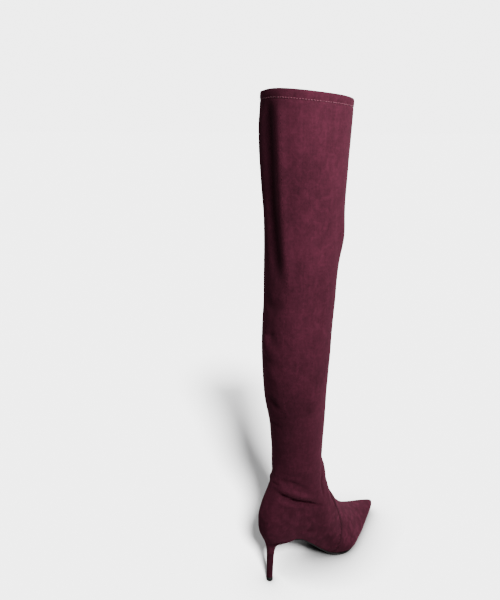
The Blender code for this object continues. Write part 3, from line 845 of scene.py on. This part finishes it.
class Surface:
    """A Principled material and the nodes that feed it."""

    def __init__(self, name):
        self.material = bpy.data.materials.new(name)
        self.material.use_nodes = True
        self.nodes = self.material.node_tree.nodes
        self.links = self.material.node_tree.links
        self.shader = self.nodes["Principled BSDF"]
        self.place = self.nodes.new("ShaderNodeTexCoord").outputs["Object"]

    def set(self, **values):
        """Constant values on the shader's own sockets."""
        for name, value in values.items():
            self.shader.inputs[name.replace("_", " ")].default_value = value

    def stretch(self, x, y, z):
        """Object coordinates scaled along each axis."""
        node = self.nodes.new("ShaderNodeMapping")
        node.inputs["Scale"].default_value = (x, y, z)
        self.links.new(self.place, node.inputs["Vector"])
        return node.outputs["Vector"]

    def noise(self, where, scale, detail=3.0, roughness=0.5, distortion=0.0):
        """Values of a noise at the given coordinates."""
        node = self.nodes.new("ShaderNodeTexNoise")
        node.inputs["Scale"].default_value = scale
        node.inputs["Detail"].default_value = detail
        node.inputs["Roughness"].default_value = roughness
        node.inputs["Distortion"].default_value = distortion
        self.links.new(where, node.inputs["Vector"])
        return node.outputs["Fac"]

    def ramp(self, factor, *stops):
        """Values or colours by factor; a stop is (place, value or colour)."""
        node = self.nodes.new("ShaderNodeValToRGB")
        ramp = node.color_ramp
        while len(ramp.elements) < len(stops):
            ramp.elements.new(0.5)
        for element, (place, value) in zip(ramp.elements, stops):
            element.position = place
            element.color = (value, value, value, 1) if isinstance(value, (int, float)) else (*value, 1)
        self.links.new(factor, node.inputs["Fac"])
        return node.outputs["Color"]

    def blend(self, factor, first, second):
        """Mixes two colours; each input is a socket or a constant."""
        node = self.nodes.new("ShaderNodeMix")
        node.data_type = "RGBA"
        for name, value in (("Factor", factor), ("A", first), ("B", second)):
            socket = next(s for s in node.inputs if s.name == name and s.enabled)
            if isinstance(value, bpy.types.NodeSocket):
                self.links.new(value, socket)
            elif isinstance(value, (int, float)):
                socket.default_value = value
            else:
                socket.default_value = (*value, 1)
        return next(s for s in node.outputs if s.enabled)

    def math(self, kind, first, second):
        """Result of a sum on two values; each input is a socket or a constant."""
        node = self.nodes.new("ShaderNodeMath")
        node.operation = kind
        for socket, value in zip(node.inputs, (first, second)):
            if isinstance(value, bpy.types.NodeSocket):
                self.links.new(value, socket)
            else:
                socket.default_value = value
        return node.outputs[0]

    def below(self, top, fade, most):
        """A share that is at its most below a height and dies out over the fade above it."""
        split = self.nodes.new("ShaderNodeSeparateXYZ")
        self.links.new(self.place, split.inputs["Vector"])
        spread = self.nodes.new("ShaderNodeMapRange")
        for name, value in (("From Min", top), ("From Max", top + fade), ("To Min", most), ("To Max", 0.0)):
            spread.inputs[name].default_value = value
        self.links.new(split.outputs["Z"], spread.inputs["Value"])
        return spread.outputs["Result"]

    def attribute(self, name):
        """Value that the mesh carries at its points."""
        node = self.nodes.new("ShaderNodeAttribute")
        node.attribute_name = name
        return node.outputs["Fac"]

    def colour(self, socket):
        """Feeds the base colour."""
        self.links.new(socket, self.shader.inputs["Base Color"])

    def rough(self, socket):
        """Feeds the roughness."""
        self.links.new(socket, self.shader.inputs["Roughness"])

    def bump(self, *layers):
        """Stacks bump layers; each is (height socket, strength, distance in metres)."""
        normal = None
        for height, strength, distance in layers:
            node = self.nodes.new("ShaderNodeBump")
            node.inputs["Strength"].default_value = strength
            node.inputs["Distance"].default_value = distance
            self.links.new(height, node.inputs["Height"])
            if normal:
                self.links.new(normal, node.inputs["Normal"])
            normal = node.outputs["Normal"]
        self.links.new(normal, self.shader.inputs["Normal"])


def suede_material(colours):
    """Brushed nap: blotches where the hand has turned it, a faint knit below, and painted shade in creases,
    streaks and along the seam.
    """
    deep, middle, raised = colours.suede_deep, colours.suede, colours.suede_raised
    suede = Surface("burgundy_suede")
    cloud = suede.noise(suede.stretch(1, 1, 0.7), 26, 4, 0.60, 0.4)
    blotch = suede.noise(suede.stretch(1, 1, 0.8), 120, 5, 0.68, 0.8)
    fleck = suede.noise(suede.place, 330, 3, 0.6, 0.5)
    streak = suede.noise(suede.stretch(1, 1, 0.07), 420, 3, 0.6)
    weft = suede.noise(suede.stretch(0.12, 0.12, 1), 640, 2, 0.5)
    nap = suede.noise(suede.stretch(1, 1, 0.7), 1700, 2, 0.6)
    wide = suede.ramp(cloud, (0.34, deep), (0.50, middle), (0.68, raised))
    spots = suede.ramp(blotch, (0.40, deep), (0.52, middle), (0.62, raised))
    brushed = suede.blend(0.55, wide, spots)
    for share, grain, low, high in ((0.22, fleck, 0.38, 0.64), (0.15, streak, 0.36, 0.64),
                                    (0.08, weft, 0.36, 0.64), (0.18, nap, 0.30, 0.70)):
        brushed = suede.blend(share, brushed, suede.ramp(grain, (low, deep), (high, raised)))
    patch = suede.noise(suede.stretch(1, 1, 0.8), 125, 2, 0.55, 0.5)
    worn = suede.ramp(patch, (0.36, deep), (0.52, middle), (0.68, tuple(1.2 * part for part in raised)))
    brushed = suede.blend(suede.below(FOOT_TOP, FOOT_FADE, 0.36), brushed, worn)
    # Painted shade: the suede is darkened by the stored share in creases, streaks and along the seam
    crushed = suede.attribute("crushed")
    suede.colour(suede.blend(crushed, brushed, tuple(0.22 * part for part in deep)))
    suede.rough(suede.ramp(blotch, (0.3, 0.84), (0.7, 0.96)))
    suede.set(Metallic=0.0, Specular_IOR_Level=0.14, Sheen_Weight=0.28, Sheen_Roughness=0.50,
              Sheen_Tint=(0.50, 0.13, 0.22, 1.0))
    suede.bump((blotch, 0.30, 0.0009), (streak, 0.12, 0.0004), (nap, 0.35, 0.00022))
    return suede.material


def lining_material(colours):
    """Fine knitted lining."""
    knit = Surface("lining_knit")
    rib = knit.noise(knit.stretch(1, 1, 0.35), 900, 2, 0.5)
    cloud = knit.noise(knit.place, 30, 2, 0.5)
    lighter = tuple(min(1.0, 1.7 * part) for part in colours.lining)
    knit.colour(knit.ramp(cloud, (0.3, colours.lining), (0.7, lighter)))
    knit.rough(knit.ramp(rib, (0.3, 0.80), (0.7, 0.92)))
    knit.set(Metallic=0.0, Specular_IOR_Level=0.25, Sheen_Weight=0.2, Sheen_Roughness=0.5)
    knit.bump((rib, 0.4, 0.0003))
    return knit.material


def sole_material(colours):
    """Smooth dyed leather, a little scuffed on the tread."""
    leather = Surface("sole_leather")
    grain = leather.noise(leather.place, 620, 4, 0.6)
    scuff = leather.noise(leather.stretch(1, 0.25, 1), 120, 4, 0.7, 0.4)
    lighter = tuple(min(1.0, 3.2 * part) for part in colours.sole)
    leather.colour(leather.ramp(scuff, (0.45, colours.sole), (0.75, lighter)))
    leather.rough(leather.ramp(scuff, (0.35, 0.38), (0.7, 0.62)))
    leather.set(Metallic=0.0, Specular_IOR_Level=0.45, Coat_Weight=0.10, Coat_Roughness=0.35)
    leather.bump((grain, 0.25, 0.00015))
    return leather.material


def tip_material(colours):
    """Hard rubber of the heel tip."""
    rubber = Surface("tip_rubber")
    grain = rubber.noise(rubber.place, 900, 3, 0.6)
    lighter = tuple(min(1.0, 2.4 * part) for part in colours.tip)
    rubber.colour(rubber.ramp(grain, (0.35, colours.tip), (0.75, lighter)))
    rubber.rough(rubber.ramp(grain, (0.3, 0.42), (0.7, 0.60)))
    rubber.set(Metallic=0.0, Specular_IOR_Level=0.4)
    rubber.bump((grain, 0.3, 0.00012))
    return rubber.material


def thread_material(colours):
    """Twisted thread of the hem's stitches."""
    thread = Surface("hem_thread")
    twist = thread.noise(thread.place, 1800, 2, 0.5)
    darker = tuple(0.6 * part for part in colours.thread)
    thread.colour(thread.ramp(twist, (0.3, darker), (0.7, colours.thread)))
    thread.rough(thread.ramp(twist, (0.3, 0.55), (0.7, 0.72)))
    thread.set(Metallic=0.0, Specular_IOR_Level=0.3, Sheen_Weight=0.2)
    thread.bump((twist, 0.3, 0.0001))
    return thread.material


def floor_material(colours):
    """Matt studio paper, pale to the eye, with a soft shadow painted into its colour close under whatever
    stands on it.
    """
    paper = Surface("studio_paper")
    cloud = paper.noise(paper.place, 2.0, 2, 0.5)
    pale = paper.ramp(cloud, (0.0, tuple(0.99 * part for part in colours.floor)), (1.0, colours.floor))
    # Painted shadow: the paper's colour darkens close to the boot
    near = paper.nodes.new("ShaderNodeAmbientOcclusion")
    near.samples = CONTACT_SAMPLES
    near.inputs["Distance"].default_value = CONTACT_REACH
    contact_shadow = paper.math("POWER", near.outputs["AO"], CONTACT_POWER)
    shadowed_paper = paper.blend(contact_shadow, (0.0, 0.0, 0.0), pale)
    seen = paper.nodes.new("ShaderNodeLightPath").outputs["Is Camera Ray"]
    paper.colour(paper.blend(seen, (BOUNCE_GREY,) * 3, shadowed_paper))
    paper.rough(paper.ramp(cloud, (0.0, 0.85), (1.0, 0.9)))
    paper.set(Metallic=0.0, Specular_IOR_Level=0.0)
    return paper.material


def material_named(name, maker):
    """The material of that name, made the first time it is asked for."""
    found = bpy.data.materials.get(name)
    return found if found else maker(bpy.context.scene.boot_colours)


def suede():
    return material_named("burgundy_suede", suede_material)


def lining():
    return material_named("lining_knit", lining_material)


# Operators


class AddLeg(bpy.types.Operator):
    """Leg of the boot: suede from the vamp seam to the rolled collar, and the lining behind it"""
    bl_idname = "boot.add_leg"
    bl_label = "Add Leg"

    def execute(self, context):
        sizes = context.scene.boot_sizes
        grid, normal = shaft_grid(0.0, LAST_RISE, sizes)
        grid = grid + normal * hem_profile(below_collar(grid), sizes)[:, None, None]
        flat = grid.reshape(-1, 3)
        points, kept = clip_faces(flat, grid_faces(*grid.shape[:2]), seam_side(flat), True)
        leg = add_mesh("leg", points, kept)
        self.add_fold(leg, sizes)
        # Painted shade in the creases, the streaks and a thin line on the leg's edge along the seam
        write_painted_shade(leg, painted_shade_share(points, sizes, LEG_SEAM_SHADE))
        turn_edge_under(leg, sizes.seam_step + EDGE_TUCK)
        self.add_inside(leg, grid, normal, sizes)
        paint(leg, suede(), lining())
        settle(leg, "suede", "upper")
        return {"FINISHED"}

    def add_fold(self, leg, sizes):
        """Folded edge of the suede along the vamp seam, a slim roll that rides on the leg's edge."""
        shell = bmesh.new()
        shell.from_mesh(leg.data)
        shell.normal_update()
        shell.verts.ensure_lookup_table()
        edges = seam_edges(shell)
        used = sorted({v.index for edge in edges for v in edge.verts})
        number = {v: n for n, v in enumerate(used)}
        points = [shell.verts[v].co - shell.verts[v].normal * FOLD_SUNK * sizes.fold_radius for v in used]
        pairs = [tuple(number[v.index] for v in edge.verts) for edge in edges]
        shell.free()
        made = grown_along("seam_fold", points, pairs, tube_tree(suede()),
                           {"Radius": sizes.fold_radius, "Spacing": FOLD_SPACING * sizes.fold_radius})
        # The roll's side towards the vamp is painted dark, a painted shade along the seam
        ahead = seam_side(np.array([v.co for v in made.data.vertices])) / sizes.fold_radius
        write_painted_shade(made, FOLD_SHADE * smooth(np.clip(ahead + FOLD_LEAD, 0, 1)))
        settle(made, "suede")

    def add_inside(self, leg, grid, normal, sizes):
        """Rolled collar and the lining, joined to the leg."""
        top, out = grid[-1], normal[-1]
        mid = top - out * sizes.wall / 2
        rim = [mid + sizes.wall / 2 * (math.cos(a) * out + math.sin(a) * np.array([0, 0, 1.0]))
               for a in np.radians(RIM_ANGLES)]
        rows = list(range(len(grid) - 1, -1, -INNER_STEP))
        inner = [grid[i] - normal[i] * sizes.wall for i in rows]
        low = grid[0] - normal[0] * sizes.seam_step
        rings = np.array(rim[:-1] + inner + [low])
        count = grid.shape[1]
        faces = grid_faces(len(rings), count)
        inside = add_mesh("inside", rings.reshape(-1, 3), faces)
        lined = np.zeros(len(inside.data.polygons), int)
        lined[(len(rim) - 2) * count:] = 1
        paint(inside, suede(), lining())
        inside.data.polygons.foreach_set("material_index", lined)
        paint(leg, suede(), lining())
        with bpy.context.temp_override(active_object=leg, selected_editable_objects=[leg, inside]):
            bpy.ops.object.join()
        shell = bmesh.new()
        shell.from_mesh(leg.data)
        bmesh.ops.remove_doubles(shell, verts=shell.verts, dist=1e-6)
        shell.to_mesh(leg.data)
        shell.free()
        leg.data.shade_smooth()


class AddVamp(bpy.types.Operator):
    """Vamp: the suede over toes and instep, set back under the leg's edge"""
    bl_idname = "boot.add_vamp"
    bl_label = "Add Vamp"

    def execute(self, context):
        sizes = context.scene.boot_sizes
        grid = shaft_grid(0.0, VAMP_RISE, sizes, sizes.seam_step)[0]
        flat = grid.reshape(-1, 3)
        points, kept = clip_faces(flat, grid_faces(*grid.shape[:2]), seam_side(flat) + SEAM_LAP, False)
        vamp = add_mesh("vamp", points, kept)
        # Painted shade in the creases and in a band beside the seam
        write_painted_shade(vamp, painted_shade_share(points, sizes, VAMP_SEAM_SHADE))
        paint(vamp, suede())
        settle(vamp, "suede")
        return {"FINISHED"}


class AddHemStitches(bpy.types.Operator):
    """Row of stitches that holds the collar's hem"""
    bl_idname = "boot.add_hem_stitches"
    bl_label = "Add Hem Stitches"

    def execute(self, context):
        sizes = context.scene.boot_sizes
        grid, normal = shaft_grid(LAST_RISE - 1.0, LAST_RISE, sizes)
        drop = below_collar(grid)
        lift = hem_profile(drop, sizes) + THREAD_STANDING * sizes.thread_radius
        raised = grid + normal * lift[:, None, None]
        path = np.array([[np.interp(-sizes.hem_depth, -drop, raised[:, j, c]) for c in range(3)]
                         for j in range(grid.shape[1])])
        count = len(path)
        tree = stitch_tree(thread_material(context.scene.boot_colours))
        stitches = grown_along("hem_stitches", path, [(i, (i + 1) % count) for i in range(count)], tree,
                               {"Spacing": sizes.stitch_spacing, "Length": sizes.stitch_length,
                                "Radius": sizes.thread_radius, "Seed": STITCH_SEED})
        settle(stitches, "suede")
        return {"FINISHED"}


def grown_along(name, points, pairs, tree, values):
    """Object of that name: what a node tree grows along a path, kept as a plain mesh."""
    mesh = bpy.data.meshes.new(name + "_path")
    mesh.from_pydata([tuple(point) for point in points], pairs, [])
    holder = bpy.data.objects.new(name + "_path", mesh)
    bpy.context.scene.collection.objects.link(holder)
    row = holder.modifiers.new("nodes", "NODES")
    row.node_group = tree
    for item in tree.interface.items_tree:
        if item.item_type == "SOCKET" and item.in_out == "INPUT" and item.name in values:
            row[item.identifier] = values[item.name]
    bpy.context.view_layer.update()
    made = bpy.data.meshes.new_from_object(holder.evaluated_get(bpy.context.evaluated_depsgraph_get()))
    bpy.data.objects.remove(holder)
    if not len(made.polygons):
        raise RuntimeError("the node tree made no faces")
    made.shade_smooth()
    piece = bpy.data.objects.new(name, made)
    bpy.context.scene.collection.objects.link(piece)
    return piece


class Growth:
    """A node tree that grows things at even steps along the edges of a mesh."""

    def __init__(self, name, *sockets):
        self.tree = bpy.data.node_groups.new(name, "GeometryNodeTree")
        face = self.tree.interface
        face.new_socket("Geometry", in_out="INPUT", socket_type="NodeSocketGeometry")
        for label, kind, default in sockets:
            face.new_socket(label, in_out="INPUT", socket_type=kind).default_value = default
        face.new_socket("Geometry", in_out="OUTPUT", socket_type="NodeSocketGeometry")
        self.given = self.make("NodeGroupInput").outputs
        line = self.make("GeometryNodeMeshToCurve", Mesh=self.given["Geometry"])
        even = self.make("GeometryNodeResampleCurve", {"mode": "LENGTH"}, Curve=line.outputs["Curve"],
                         Length=self.given["Spacing"])
        self.path = even.outputs["Curve"]

    def make(self, kind, settings=None, **inputs):
        """A node; each input is a socket or a constant, with underscores for spaces in its name."""
        node = self.tree.nodes.new(kind)
        for name, value in (settings or {}).items():
            setattr(node, name, value)
        for name, value in inputs.items():
            socket = node.inputs[name.replace("_", " ")]
            if isinstance(value, bpy.types.NodeSocket):
                self.tree.links.new(value, socket)
            else:
                socket.default_value = value
        return node

    def finish(self, geometry, material):
        """Makes instances real, sets the material and hands the geometry out."""
        real = self.make("GeometryNodeRealizeInstances", Geometry=geometry)
        coat = self.make("GeometryNodeSetMaterial", Geometry=real.outputs["Geometry"], Material=material)
        self.make("NodeGroupOutput", Geometry=coat.outputs["Geometry"])
        return self.tree


def tube_tree(material):
    """Round tube along the edges of a mesh."""
    tube = Growth("edge_tube", ("Radius", "NodeSocketFloat", 0.0006), ("Spacing", "NodeSocketFloat", 0.0009))
    ring = tube.make("GeometryNodeCurvePrimitiveCircle", Resolution=10, Radius=tube.given["Radius"])
    sweep = tube.make("GeometryNodeCurveToMesh", Curve=tube.path, Profile_Curve=ring.outputs["Curve"],
                      Fill_Caps=True)
    return tube.finish(sweep.outputs["Mesh"], material)


def stitch_tree(thread):
    """Short rounded threads at even steps along a path."""
    row = Growth("stitch_row", ("Spacing", "NodeSocketFloat", 0.003), ("Length", "NodeSocketFloat", 0.0023),
                 ("Radius", "NodeSocketFloat", 0.0003), ("Seed", "NodeSocketInt", STITCH_SEED))
    tangent = row.make("GeometryNodeInputTangent").outputs["Tangent"]
    turn = row.make("FunctionNodeAlignRotationToVector", {"axis": "Z"}, Vector=tangent)
    ball = row.make("GeometryNodeMeshUVSphere", Segments=8, Rings=6, Radius=1.0)
    half = row.make("ShaderNodeMath")
    half.operation = "MULTIPLY"
    half.inputs[1].default_value = 0.5
    row.tree.links.new(row.given["Length"], half.inputs[0])
    vary = row.make("FunctionNodeRandomValue", {"data_type": "FLOAT"}, Min=0.9, Max=1.06,
                    Seed=row.given["Seed"])
    shape = row.make("ShaderNodeCombineXYZ", X=row.given["Radius"], Y=row.given["Radius"],
                     Z=half.outputs[0])
    slim = row.make("GeometryNodeTransform", Geometry=ball.outputs["Mesh"], Scale=shape.outputs["Vector"])
    place = row.make("GeometryNodeInstanceOnPoints", Points=row.path, Instance=slim.outputs["Geometry"],
                     Rotation=turn.outputs["Rotation"], Scale=vary.outputs["Value"])
    return row.finish(place.outputs["Instances"], thread)


def stem_angles():
    """Angles round the heel's stem from behind its tip point to the breast."""
    return STEM_SWEEP * np.arange(1, HEEL_STATIONS + 1) / HEEL_STATIONS


class AddHeel(bpy.types.Operator):
    """Slim heel covered in the boot's suede"""
    bl_idname = "boot.add_heel"
    bl_label = "Add Heel"

    def execute(self, context):
        angle = stem_angles()
        share = (1 - np.cos(angle)) / (1 - math.cos(STEM_SWEEP))
        back = FOOT[0].back * SHOE_LENGTH
        seat_along = back + (BREAST - back) * share
        seat_half = edge_half(seat_along)
        seat_top = underside(seat_along) - GAP
        tip_top = float(underside(back)) - GAP
        stem_along = STEM_SETBACK - STEM_RADIUS * np.cos(angle)
        stem_half = STEM_RADIUS * np.sin(angle)
        floor = TIP_HEIGHT + GAP
        levels = []
        drop = column_of(DRAWS, "level")
        for level in np.linspace(0, 1, HEEL_LEVELS)**HEEL_CROWDING:
            breast, rear, side = [float(curve(drop, column_of(DRAWS, name), level))
                                  for name in ("breast", "back", "side")]
            inward = rear + (breast - rear) * share
            along = seat_along + (stem_along - seat_along) * inward
            half = seat_half + (stem_half - seat_half) * side
            tip_along = back + (STEM_SETBACK - STEM_RADIUS - back) * rear
            levels.append(Level(tip_along, along, np.zeros_like(along), half,
                                tip_top + (floor - tip_top) * level,
                                seat_top + (floor - seat_top) * level))
        heel = add_mesh("heel_cover", *levels_mesh(levels))
        face_outwards(heel)
        heel.data.set_sharp_from_angle(angle=SHARP_HEEL)
        paint(heel, suede())
        settle(heel, "heel_cover", "heel")
        return {"FINISHED"}


class AddOutsole(bpy.types.Operator):
    """Outsole of smooth dark leather, thin through the waist"""
    bl_idname = "boot.add_outsole"
    bl_label = "Add Outsole"

    def execute(self, context):
        start = BREAST + GAP
        front = FOOT[0].front * SHOE_LENGTH
        share = np.linspace(0, 1, SOLE_STATIONS)[1:]
        along = front - (front - start) * share**SOLE_CROWDING
        thin, thick = FEATHER[4].along, FEATHER[6].along
        share = np.clip((along / SHOE_LENGTH - thin) / (thick - thin), 0, 1)
        depth = WAIST_THICKNESS + (SOLE_THICKNESS - WAIST_THICKNESS) * smooth(share)
        top = underside(along) - GAP
        tip_top = float(underside(front)) - GAP
        levels = []
        for outset, sink in SOLE_EDGE:
            half = np.maximum(offset_half(along, outset), LEAST_HALF)
            levels.append(Level(front + TOE_OUTSET_SHARE * outset, along, centre_line(along), half,
                                tip_top - sink * SOLE_THICKNESS, top - sink * depth))
        sole = add_mesh("sole", *levels_mesh(levels))
        face_outwards(sole)
        sole.data.set_sharp_from_angle(angle=SHARP_SOLE)
        paint(sole, sole_material(context.scene.boot_colours))
        settle(sole, "sole", "outsole")
        return {"FINISHED"}


class AddHeelTip(bpy.types.Operator):
    """Hard tip under the heel"""
    bl_idname = "boot.add_heel_tip"
    bl_label = "Add Heel Tip"

    def execute(self, context):
        angle = stem_angles()
        levels = []
        for height, outset in TIP_PROFILE:
            radius = STEM_RADIUS + outset
            along = STEM_SETBACK - radius * np.cos(angle)
            flat = np.full(len(angle), height)
            levels.append(Level(STEM_SETBACK - radius, along, np.zeros_like(flat), radius * np.sin(angle),
                                height, flat))
        tip = add_mesh("heel_tip_rubber", *levels_mesh(levels))
        face_outwards(tip)
        tip.data.set_sharp_from_angle(angle=SHARP_SOLE)
        paint(tip, tip_material(context.scene.boot_colours))
        settle(tip, "tip", "heel_tip")
        return {"FINISHED"}


class FinishInsole(bpy.types.Operator):
    """Insole inside the boot, in the lining's knit"""
    bl_idname = "boot.finish_insole"
    bl_label = "Finish Insole"

    def execute(self, context):
        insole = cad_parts["insole"]
        insole.data.materials.clear()
        insole.data.materials.append(lining())
        return {"FINISHED"}


# Stage

# The camera stands where the photo's stood
CAMERA_PLACE = (-0.4512, 0.5155, 0.5978)
CAMERA_TURN = tuple(math.radians(a) for a in (72.30, 0.0, 230.44))
CAMERA_ROLL = math.radians(0.32)
CAMERA_LENS = 33.18
CAMERA_SENSOR = 36
FLOOR_RADIUS = 40.0
FLOOR_SIDES = 96
# Brightness of the studio as the eye sees it, and as a light on the boot
PALE = 4.6
AMBIENT = 0.12
# The floor's grey to the light that bounces off it, and its painted soft shadow close under the boot
BOUNCE_GREY = 0.04
CONTACT_REACH = 0.06
CONTACT_POWER = 2.2
CONTACT_SAMPLES = 16

# Lamps that light the boot: place, width, power and colour; they face the middle of the leg
Lamp = namedtuple("Lamp", "name place size energy colour")
LAMPS = (
    Lamp("key", (-0.520, 0.145, 0.79), 0.32, 6.7, (1.0, 0.985, 0.985)),
    Lamp("foot_fill", (-0.60, 0.75, 0.50), 0.60, 0.55, (1.0, 0.99, 1.0)),
    Lamp("left_bounce", (0.85, 0.45, 0.45), 0.80, 0.10, (1.0, 1.0, 1.0)),
    Lamp("far_fill", (0.50, -1.00, 0.60), 0.70, 3.0, (1.0, 0.99, 0.99)),
    Lamp("rim", (-0.35, -1.00, 0.70), 0.50, 1.2, (1.0, 1.0, 1.0)),
)
LAMP_AIM = (0.0, 0.03, 0.30)
# Soft spot from above for the toe
TOE_PLACE = (-0.22, -0.30, 0.85)
TOE_AIM = (-0.01, -0.06, 0.02)
TOE_WIDTH = 0.10
TOE_CONE = math.radians(32)
TOE_ENERGY = 19.0
# Suns that light the floor: direction towards the light, strength and angle across
FloorSun = namedtuple("FloorSun", "name towards energy angle")
FLOOR_SUNS = (
    FloorSun("floor_key", (-0.606, 0.331, 0.723), 21.9, math.radians(11)),
    FloorSun("floor_sky", (0.0, 0.0, 1.0), 1.1, math.radians(150)),
)


class AddStage(bpy.types.Operator):
    """Pale floor, soft studio lights and the camera"""
    bl_idname = "boot.add_stage"
    bl_label = "Add Stage"

    def execute(self, context):
        floor = self.add_floor(context)
        boot = bpy.data.collections.new("lit_boot")
        ground = bpy.data.collections.new("lit_floor")
        ground.objects.link(floor)
        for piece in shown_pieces():
            boot.objects.link(piece)
        self.add_lamps(boot)
        self.add_toe_spot(boot)
        self.add_suns(ground)
        self.add_world(context)
        self.add_camera(context)
        return {"FINISHED"}

    def add_floor(self, context):
        points = [(FLOOR_RADIUS * math.cos(2 * math.pi * i / FLOOR_SIDES),
                   FLOOR_RADIUS * math.sin(2 * math.pi * i / FLOOR_SIDES), 0.0) for i in range(FLOOR_SIDES)]
        floor = add_mesh("floor", points, [tuple(range(FLOOR_SIDES))])
        paint(floor, floor_material(context.scene.boot_colours))
        floor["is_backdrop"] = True
        return floor

    def add_lamps(self, boot):
        for lamp in LAMPS:
            light = bpy.data.lights.new(lamp.name, "AREA")
            light.shape = "DISK"
            light.size = lamp.size
            light.energy = lamp.energy
            light.color = lamp.colour
            self.hang(light, lamp.place, Vector(lamp.place) - Vector(LAMP_AIM), boot)

    def add_toe_spot(self, boot):
        light = bpy.data.lights.new("toe_spot", "SPOT")
        light.shadow_soft_size = TOE_WIDTH
        light.spot_size = TOE_CONE
        light.spot_blend = 1.0
        light.energy = TOE_ENERGY
        self.hang(light, TOE_PLACE, Vector(TOE_PLACE) - Vector(TOE_AIM), boot)

    def add_suns(self, ground):
        for sun in FLOOR_SUNS:
            light = bpy.data.lights.new(sun.name, "SUN")
            light.energy = sun.energy
            light.angle = sun.angle
            self.hang(light, (0.0, 0.0, 0.0), Vector(sun.towards), ground)

    def hang(self, light, place, towards, lit):
        """Hangs a light with its back towards a direction; it reaches only the lit pieces."""
        holder = bpy.data.objects.new(light.name, light)
        holder.location = place
        holder.rotation_euler = towards.to_track_quat("Z", "Y").to_euler()
        holder.light_linking.receiver_collection = lit
        holder.visible_camera = False
        bpy.context.scene.collection.objects.link(holder)

    def add_world(self, context):
        world = context.scene.world or bpy.data.worlds.new("studio")
        context.scene.world = world
        world.use_nodes = True
        nodes, links = world.node_tree.nodes, world.node_tree.links
        sky = nodes["Background"]
        sky.inputs["Color"].default_value = (0.97, 0.98, 1.0, 1.0)
        sky.inputs["Strength"].default_value = AMBIENT
        seen = nodes.new("ShaderNodeBackground")
        seen.inputs["Color"].default_value = (1.0, 1.0, 1.0, 1.0)
        seen.inputs["Strength"].default_value = PALE
        path = nodes.new("ShaderNodeLightPath")
        pick = nodes.new("ShaderNodeMixShader")
        links.new(path.outputs["Is Camera Ray"], pick.inputs["Fac"])
        links.new(sky.outputs["Background"], pick.inputs[1])
        links.new(seen.outputs["Background"], pick.inputs[2])
        links.new(pick.outputs["Shader"], nodes["World Output"].inputs["Surface"])

    def add_camera(self, context):
        lens = bpy.data.cameras.new("camera")
        lens.lens = CAMERA_LENS
        lens.sensor_width = CAMERA_SENSOR
        lens.clip_start = 0.01
        lens.clip_end = 200
        camera = bpy.data.objects.new("camera", lens)
        camera.location = CAMERA_PLACE
        turn = Euler(CAMERA_TURN, "XYZ").to_matrix() @ Euler((0, 0, CAMERA_ROLL), "XYZ").to_matrix()
        camera.rotation_euler = turn.to_euler()
        context.scene.collection.objects.link(camera)
        context.scene.camera = camera


class BootPanel(bpy.types.Panel):
    """Lists the boot's pieces and settings"""
    bl_idname = "VIEW3D_PT_boot"
    bl_label = "Thigh High Boot"
    bl_space_type = "VIEW_3D"
    bl_region_type = "UI"
    bl_category = "Boot"

    def draw(self, context):
        for operator in OPERATORS:
            self.layout.operator(operator.bl_idname)
        for group in (context.scene.boot_sizes, context.scene.boot_colours):
            for name in group.bl_rna.properties.keys():
                if name not in ("rna_type", "name"):
                    self.layout.prop(group, name)


OPERATORS = (AddLeg, AddVamp, AddHemStitches, AddHeel, AddOutsole, AddHeelTip, FinishInsole, AddStage)
CLASSES = (BootSizes, BootColours) + OPERATORS + (BootPanel,)


def register():
    for item in CLASSES:
        bpy.utils.register_class(item)
    bpy.types.Scene.boot_sizes = PointerProperty(type=BootSizes)
    bpy.types.Scene.boot_colours = PointerProperty(type=BootColours)


def unregister():
    del bpy.types.Scene.boot_colours
    del bpy.types.Scene.boot_sizes
    for item in reversed(CLASSES):
        bpy.utils.unregister_class(item)


def main():
    register()
    for operator in OPERATORS:
        getattr(bpy.ops.boot, operator.bl_idname.split(".")[1])()


if __name__ == "__main__":
    main()
